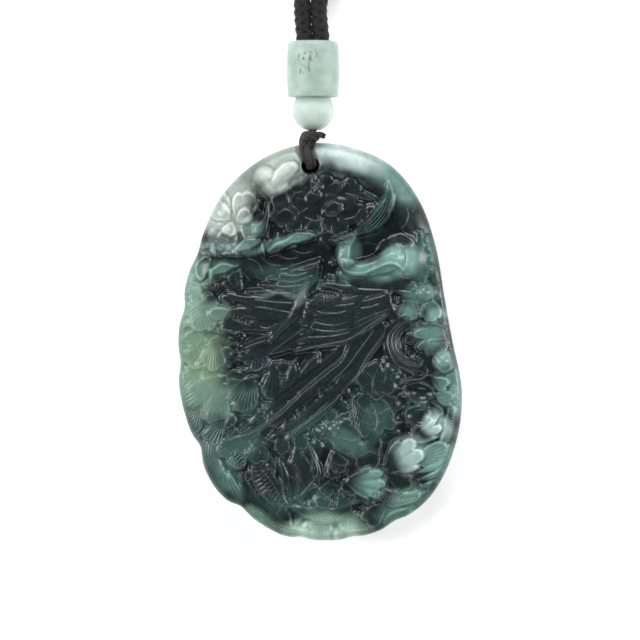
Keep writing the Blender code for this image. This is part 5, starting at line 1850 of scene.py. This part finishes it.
@dataclass
class BraidedCord:
    """The black cord: two strands out of the barrel, wound away in one neat coil."""

    diameter: float = 2.5
    spacing: float = 2.4
    bead_x: float = -1.1
    start_y: float = 38.35
    mouth_y: float = 44.45
    height: float = 3.905
    coil_x: float = 15.05
    coil_y: float = 76.0
    outer: float = 18.05
    inner: float = 10.85
    turn_gap: float = 2.6
    layer: float = 2.35
    strands: Strands = field(default_factory=lambda: Strands(8, 5.2, 0.78, 0.52, 0.4, weave=0.05,
                                                             braided=True))
    finish: WaxedThread = field(default_factory=lambda: WaxedThread(
        "black polyester cord, braided from eight strands", "070708", "232223", 4, 1.6))

    @property
    def floor(self) -> float:
        """How high the cord's middle is where it lies on the floor."""
        return self.diameter / 2 + 0.1

    def out_of_bore(self, x: float) -> list[Point]:
        """Lead a strand straight out of the barrel's bore and a little down.

        Args:
            x: Where it lies across, in millimetres.

        Returns:
            The first points of its route, in millimetres.
        """
        start, mouth, up = self.start_y, self.mouth_y, self.height
        return [(x, start, up), (x, (start + mouth) / 2, up), (x, mouth + 0.3, up),
                (x - 0.3, mouth + 3.2, up - 0.4)]

    def left_lead(self) -> list[Point]:
        """Lead the left strand from the barrel's bore to the coil.

        Returns:
            The points of its route, in millimetres.
        """
        left, floor = self.bead_x - self.spacing / 2, self.floor
        return [*self.out_of_bore(left), (left - 0.4, 51.0, 2.6), (left - 0.55, 54.5, 1.6),
                (left - 0.57, 58.5, floor), (left - 0.57, 62.5, floor), (left - 0.57, 66.0, floor)]

    def right_lead(self) -> list[Point]:
        """Lead the right strand from the barrel's bore to the coil.

        Returns:
            The points of its route, in millimetres.
        """
        right, floor = self.bead_x + self.spacing / 2, self.floor
        return [*self.out_of_bore(right), (right - 0.2, 50.6, 2.7), (right + 1.5, 53.4, 1.7),
                (right + 3.6, 55.6, floor), (right + 5.9, 56.8, floor)]

    def coil(self) -> list[Point]:
        """Wind the turns: a lower spiral inwards, then an upper one outwards.

        Returns:
            The points of the coil, in millimetres.
        """
        per_turn = 36
        rise_points, rise_turn = 12, 120
        fall_from = 0.86
        end = -110.0
        last = self.outer - 0.2
        points = []
        low_turns = (self.outer - self.inner) / self.turn_gap
        steps = int(low_turns * per_turn)
        for k in range(steps + 1):
            f = k / steps
            points.append((self.outer - f * (self.outer - self.inner), 180 - 360 * low_turns * f, self.floor))
        angle = points[-1][1]
        for k in range(1, rise_points + 1):
            lift = float(ramp(np.array(k / rise_points)))
            points.append((self.inner, angle - rise_turn * k / rise_points, self.floor + self.layer * lift))
        angle -= rise_turn
        target = angle - 360 * (last - self.inner) / self.turn_gap
        while end > target:
            end -= 360.0
        end += 360.0 if end < target - 180 else 0.0
        steps = int((angle - end) * per_turn / 360)
        for k in range(1, steps + 1):
            f = k / steps
            drop = float(ramp(np.array((f - fall_from) / (1 - fall_from))))
            points.append((self.inner + f * (last + 0.6 - self.inner), angle + (end - angle) * f,
                           self.floor + self.layer * (1 - drop)))
        return [(self.coil_x + r * math.cos(math.radians(t)), self.coil_y + r * math.sin(math.radians(t)), z)
                for r, t, z in points]

    def path(self) -> list[np.ndarray]:
        """Join the leads and the coil into the whole cord's middle line.

        Returns:
            Its points from bore to bore, in metres.
        """
        out = smooth_path(self.left_lead(), 4)[:-4]
        home = smooth_path(self.right_lead(), 4)[:-3][::-1]
        rough = [*out, *[np.array(p) for p in self.coil()], *home]
        return [p * MM for p in rough]

    def build(self, tree: bpy.types.GeometryNodeTree) -> bpy.types.Object:
        """Args:
            tree: The tree that braids it.

        Returns:
            The cord.
        """
        path = self.path()
        piece = self.strands.wind("braided_cord", path, tree, self.finish.build())
        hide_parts("cord_lead_left", "cord_lead_right", "cord_coil")
        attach(piece, "root")
        return piece


@dataclass
class HangingThread:
    """The dark thread that ties the plaque: its loop, its wrapped knot and its cut end."""

    plaque: JadePlaque
    bead_x: float = -1.1
    diameter: float = 1.9
    clearance: float = 0.15
    knot_width: float = 4.0
    knot_height: float = 1.3
    knot_depth: float = 2.6
    knot_gap: float = 0.3
    axis_height: float = 3.905
    stem_end: float = 37.7
    finish: WaxedThread = field(default_factory=lambda: WaxedThread(
        "dark brown polyester thread, twisted and waxed", "17120f", "4a4340", 3, 1.2))

    @property
    def knot_y(self) -> float:
        """The middle of the knot, just past the plaque's top edge."""
        return self.plaque.length / 2 + self.knot_gap + self.knot_height / 2

    def loop_route(self) -> list[Point]:
        """Lead the loop through the hole and round the bridge of stone.

        Returns:
            The points of its route, in millimetres.
        """
        plaque = self.plaque
        half = self.diameter / 2 + self.clearance
        top = plaque.length / 2
        wall = plaque.hole_y + plaque.hole_diameter / 2
        ys = (top - 0.25, (top + wall) / 2, wall)
        xs = [float(plaque.seat_x(y)) for y in ys]
        heights = plaque.carve(np.array(xs), np.array(ys)).height
        over = [(x, y, float(z) + half) for x, y, z in zip(xs, ys, heights)]
        lip, back, turn = over[-1][2] - half, plaque.channel_depth, half * math.sqrt(0.5)
        return [(self.bead_x - self.knot_width / 14, self.knot_y, self.axis_height + self.knot_depth / 4),
                (float(plaque.seat_x(top)) + self.clearance * 2, top + half * 0.8,
                 over[0][2] - self.clearance * 2),
                *over, (plaque.hole_x, wall - turn, lip + turn), (plaque.hole_x, wall - half, lip),
                (plaque.hole_x, wall - half, back), (plaque.hole_x, wall - turn, back - turn),
                (plaque.hole_x, wall, back - half), (plaque.hole_x, top, back - half),
                (plaque.hole_x, top + half * 0.8, back - half * 0.6),
                (self.bead_x, self.knot_y, self.axis_height - self.knot_depth / 4)]

    def knot_route(self) -> list[Point]:
        """Wrap the knot, not quite three turns about the thread, and lay out its end.

        Returns:
            The points of its route, in millimetres.
        """
        last, per_turn, start = 30, 11, -2.48
        aside, across = 0.36, self.knot_width / 2 - 1.05
        forward, deep = 0.9, self.knot_depth / 2 + 0.3
        advance = 0.6
        x, y, z = self.bead_x, self.knot_y, self.axis_height
        points = []
        for k in range(last + 1):
            turn = 2 * math.pi * k / per_turn + start
            points.append((x - aside - across * math.cos(turn), y - advance / 2 + advance * k / last,
                           z + forward + deep * math.sin(turn)))
        return [*points, (x + 1.0, y + 0.2, z + 2.2), (x + 1.7, y + 0.1, z + 1.9)]

    def build(self, tree: bpy.types.GeometryNodeTree) -> list[bpy.types.Object]:
        """Twist the loop, the knot and the stem inside the beads.

        Args:
            tree: The tree that twists them.

        Returns:
            The three pieces.
        """
        material = self.finish.build()
        loop = [p * MM for p in smooth_path(self.loop_route(), 6)]
        knot = [p * MM for p in smooth_path(self.knot_route(), 3)]
        stem = [np.array((self.bead_x, self.knot_y + (self.stem_end - self.knot_y) * k / 12,
                          self.axis_height)) * MM
                for k in range(13)]
        pieces = [
            Strands(4, 11.0, 0.46, 0.41, 0.25, sides=10).wind("thread_loop", loop, tree, material),
            Strands(3, 3.2, 0.24, 0.25, 0.2, sides=8).wind("thread_knot", knot, tree, material),
            Strands(3, 5.0, 0.33, 0.34, 0.3, sides=8).wind("thread_stem", stem, tree, material),
        ]
        for piece in pieces:
            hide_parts("hanging_thread")
            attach(piece, "root")
        return pieces


@dataclass
class TurnedBead:
    """A bead turned about the cord's line, from a profile of radius and place, in millimetres."""

    name: str
    node: str
    slot: str
    profile: list[Flat]
    finish: BeadJade
    axis_x: float = -1.1
    axis_z: float = 3.905
    segments: int = 128

    def build(self) -> bpy.types.Object:
        """Turn the bead and dress it.

        Returns:
            The bead.
        """
        work = bmesh.new()
        rings = []
        for radius, y in self.profile:
            ring = []
            for k in range(self.segments):
                turn = 2 * math.pi * k / self.segments
                ring.append(work.verts.new(((self.axis_x + radius * math.cos(turn)) * MM, y * MM,
                                            (self.axis_z + radius * math.sin(turn)) * MM)))
            rings.append(ring)
        for a, b in zip(rings, rings[1:] + rings[:1]):
            for k in range(self.segments):
                following = (k + 1) % self.segments
                work.faces.new((a[k], a[following], b[following], b[k]))
        bmesh.ops.recalc_face_normals(work, faces=work.faces)
        mesh = bpy.data.meshes.new(self.name)
        work.to_mesh(mesh)
        work.free()
        piece = add_object(self.name, mesh, self.finish.build(), 50)
        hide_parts(self.node)
        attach(piece, "root")
        return piece


@dataclass
class Beads:
    """The two jade beads between the knot and the cord, in millimetres."""

    start: float = 36.15
    round_y: float = 34.2
    round_radius: float = 3.1
    round_bore: float = 0.95
    barrel_radius: float = 3.875
    barrel_length: float = 8.3
    barrel_bore: float = 2.725
    barrel_rounding: float = 0.7
    barrel_taper: float = 0.1

    def round_profile(self) -> list[Flat]:
        """Draw the round bead's profile, bored through.

        Returns:
            The profile's radii and places.
        """
        steps = 40
        steep = math.acos((self.round_bore + 0.2) / self.round_radius)
        angles = [steep - 2 * steep * k / steps for k in range(steps + 1)]
        points = [(self.round_radius * math.cos(angle), self.round_y + self.round_radius * math.sin(angle))
                  for angle in angles]
        low, high = points[-1][1] + 0.1, points[0][1] - 0.1
        return [(self.round_bore, high), *points, (self.round_bore, low)]

    def barrel_profile(self) -> list[Flat]:
        """Draw the barrel's profile, its ends eased and its sides a little full.

        Returns:
            The profile's radii and places.
        """
        start, end, bore = self.start, self.start + self.barrel_length, self.barrel_bore
        edge, low = self.barrel_rounding, self.barrel_rounding / 2
        side = self.barrel_radius - self.barrel_taper
        quarter = [math.radians(10 * k) for k in range(10)]
        points = [(bore, end - 0.15), (bore + 0.15, end)]
        points += [(side - edge + edge * math.sin(a), end - edge + edge * math.cos(a)) for a in quarter]
        for k in range(1, 8):
            f = k / 8
            full = self.barrel_taper * math.sin(math.pi * f)
            points.append((side + full, end - edge - f * (end - start - edge - low)))
        points += [(side - low + low * math.cos(a), start + low - low * math.sin(a)) for a in quarter]
        return [*points, (bore + 0.15, start), (bore, start + 0.15)]

    def build(self) -> list[bpy.types.Object]:
        """Turn both beads.

        Returns:
            The round one and the barrel.
        """
        ball = TurnedBead("round_bead_polished", "round_bead", "pale_jade", self.round_profile(), BeadJade(
            "white green jadeite, polished", "cfe2da", "dcebe4", "9dbcb0", -0.06))
        barrel = TurnedBead("barrel_bead_polished", "barrel_bead", "speckled_jade", self.barrel_profile(),
                            BeadJade(
            "speckled green jadeite, polished", "a9c2b8", "c6d6cc", "4f6f66", 0.02))
        return [ball.build(), barrel.build()]


# Studio


@dataclass(frozen=True)
class SoftLight:
    """A soft box, in metres and watts."""

    name: str
    place: Point
    aim: Point
    width: float
    height: float
    power: float

    def build(self) -> None:
        """Hang the soft box and turn it to its aim."""
        data = bpy.data.lights.new(self.name, "AREA")
        data.shape = "RECTANGLE"
        data.size, data.size_y = self.width, self.height
        data.energy = self.power
        lamp = put(self.name, data)
        lamp.location = self.place
        lamp.rotation_euler = (Vector(self.aim) - Vector(self.place)).to_track_quat("-Z", "Y").to_euler()


@dataclass
class Studio:
    """The camera straight above, the white floor and the soft boxes round it."""

    frame_width: float = 0.0945
    centre: Flat = (-0.00007, 0.0032)
    distance: float = 0.75
    sensor: float = 36.0
    lights: tuple[SoftLight, ...] = (
        SoftLight("left_box", (-0.55, 0.10, 0.42), (0, 0, 0), 0.30, 0.50, 3.2),
        SoftLight("right_box", (0.62, 0.10, 0.26), (0, 0, 0), 0.22, 0.50, 2.6),
        SoftLight("head_box", (0.0, 0.60, 0.45), (0, 0, 0), 0.50, 0.20, 2.6),
        SoftLight("foot_box", (0.0, -0.60, 0.40), (0, 0, 0), 0.50, 0.20, 0.9),
    )
    world: str = "3a3d3d"
    floor_half: float = 2.0
    floor_white: float = 0.93
    floor_glow: float = 0.5

    def build_camera(self) -> None:
        """Set the camera over the pendant, at the photograph's framing."""
        data = bpy.data.cameras.new("camera")
        data.sensor_width = self.sensor
        data.lens = self.sensor * self.distance / self.frame_width
        data.clip_start, data.clip_end = 0.01, 10
        camera = put("camera", data)
        camera.location = (*self.centre, self.distance + 0.005)
        bpy.context.scene.camera = camera

    def build(self) -> None:
        """Lay the floor, hang the lights and set how the picture is developed."""
        mesh = bpy.data.meshes.new("floor")
        far = self.floor_half
        mesh.from_pydata([(-far, -far, 0), (far, -far, 0), (far, far, 0), (-far, far, 0)], [], [(0, 1, 2, 3)])
        material, tree, shader = new_material("white paper sweep")
        fill(tree, shader, {
            "Base Color": (*[self.floor_white] * 3, 1), "Roughness": 0.9, "Specular IOR Level": 0.1,
            "Emission Color": (1, 1, 1, 1), "Emission Strength": self.floor_glow})
        add_object("floor", mesh, material)
        for light in self.lights:
            light.build()
        world = bpy.data.worlds.new("studio air")
        world.use_nodes = True
        background = world.node_tree.nodes["Background"]
        background.inputs["Color"].default_value = (*linear(self.world), 1)
        bpy.context.scene.world = world
        bpy.context.scene.view_settings.view_transform = "Standard"
        self.build_camera()


def main() -> None:
    """Build the studio, the cord, the thread, the beads and the plaque, and log their face counts."""
    logging.basicConfig(level=logging.INFO, format="%(name)s: %(message)s")
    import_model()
    Studio().build()
    tree = StrandTree().build()
    plaque = JadePlaque()
    pieces = [BraidedCord().build(tree), *HangingThread(plaque).build(tree), *Beads().build(), plaque.build()]
    for piece in pieces:
        log.info("%s: %d faces", piece.name, len(piece.data.polygons))


if __name__ == "__main__":
    main()
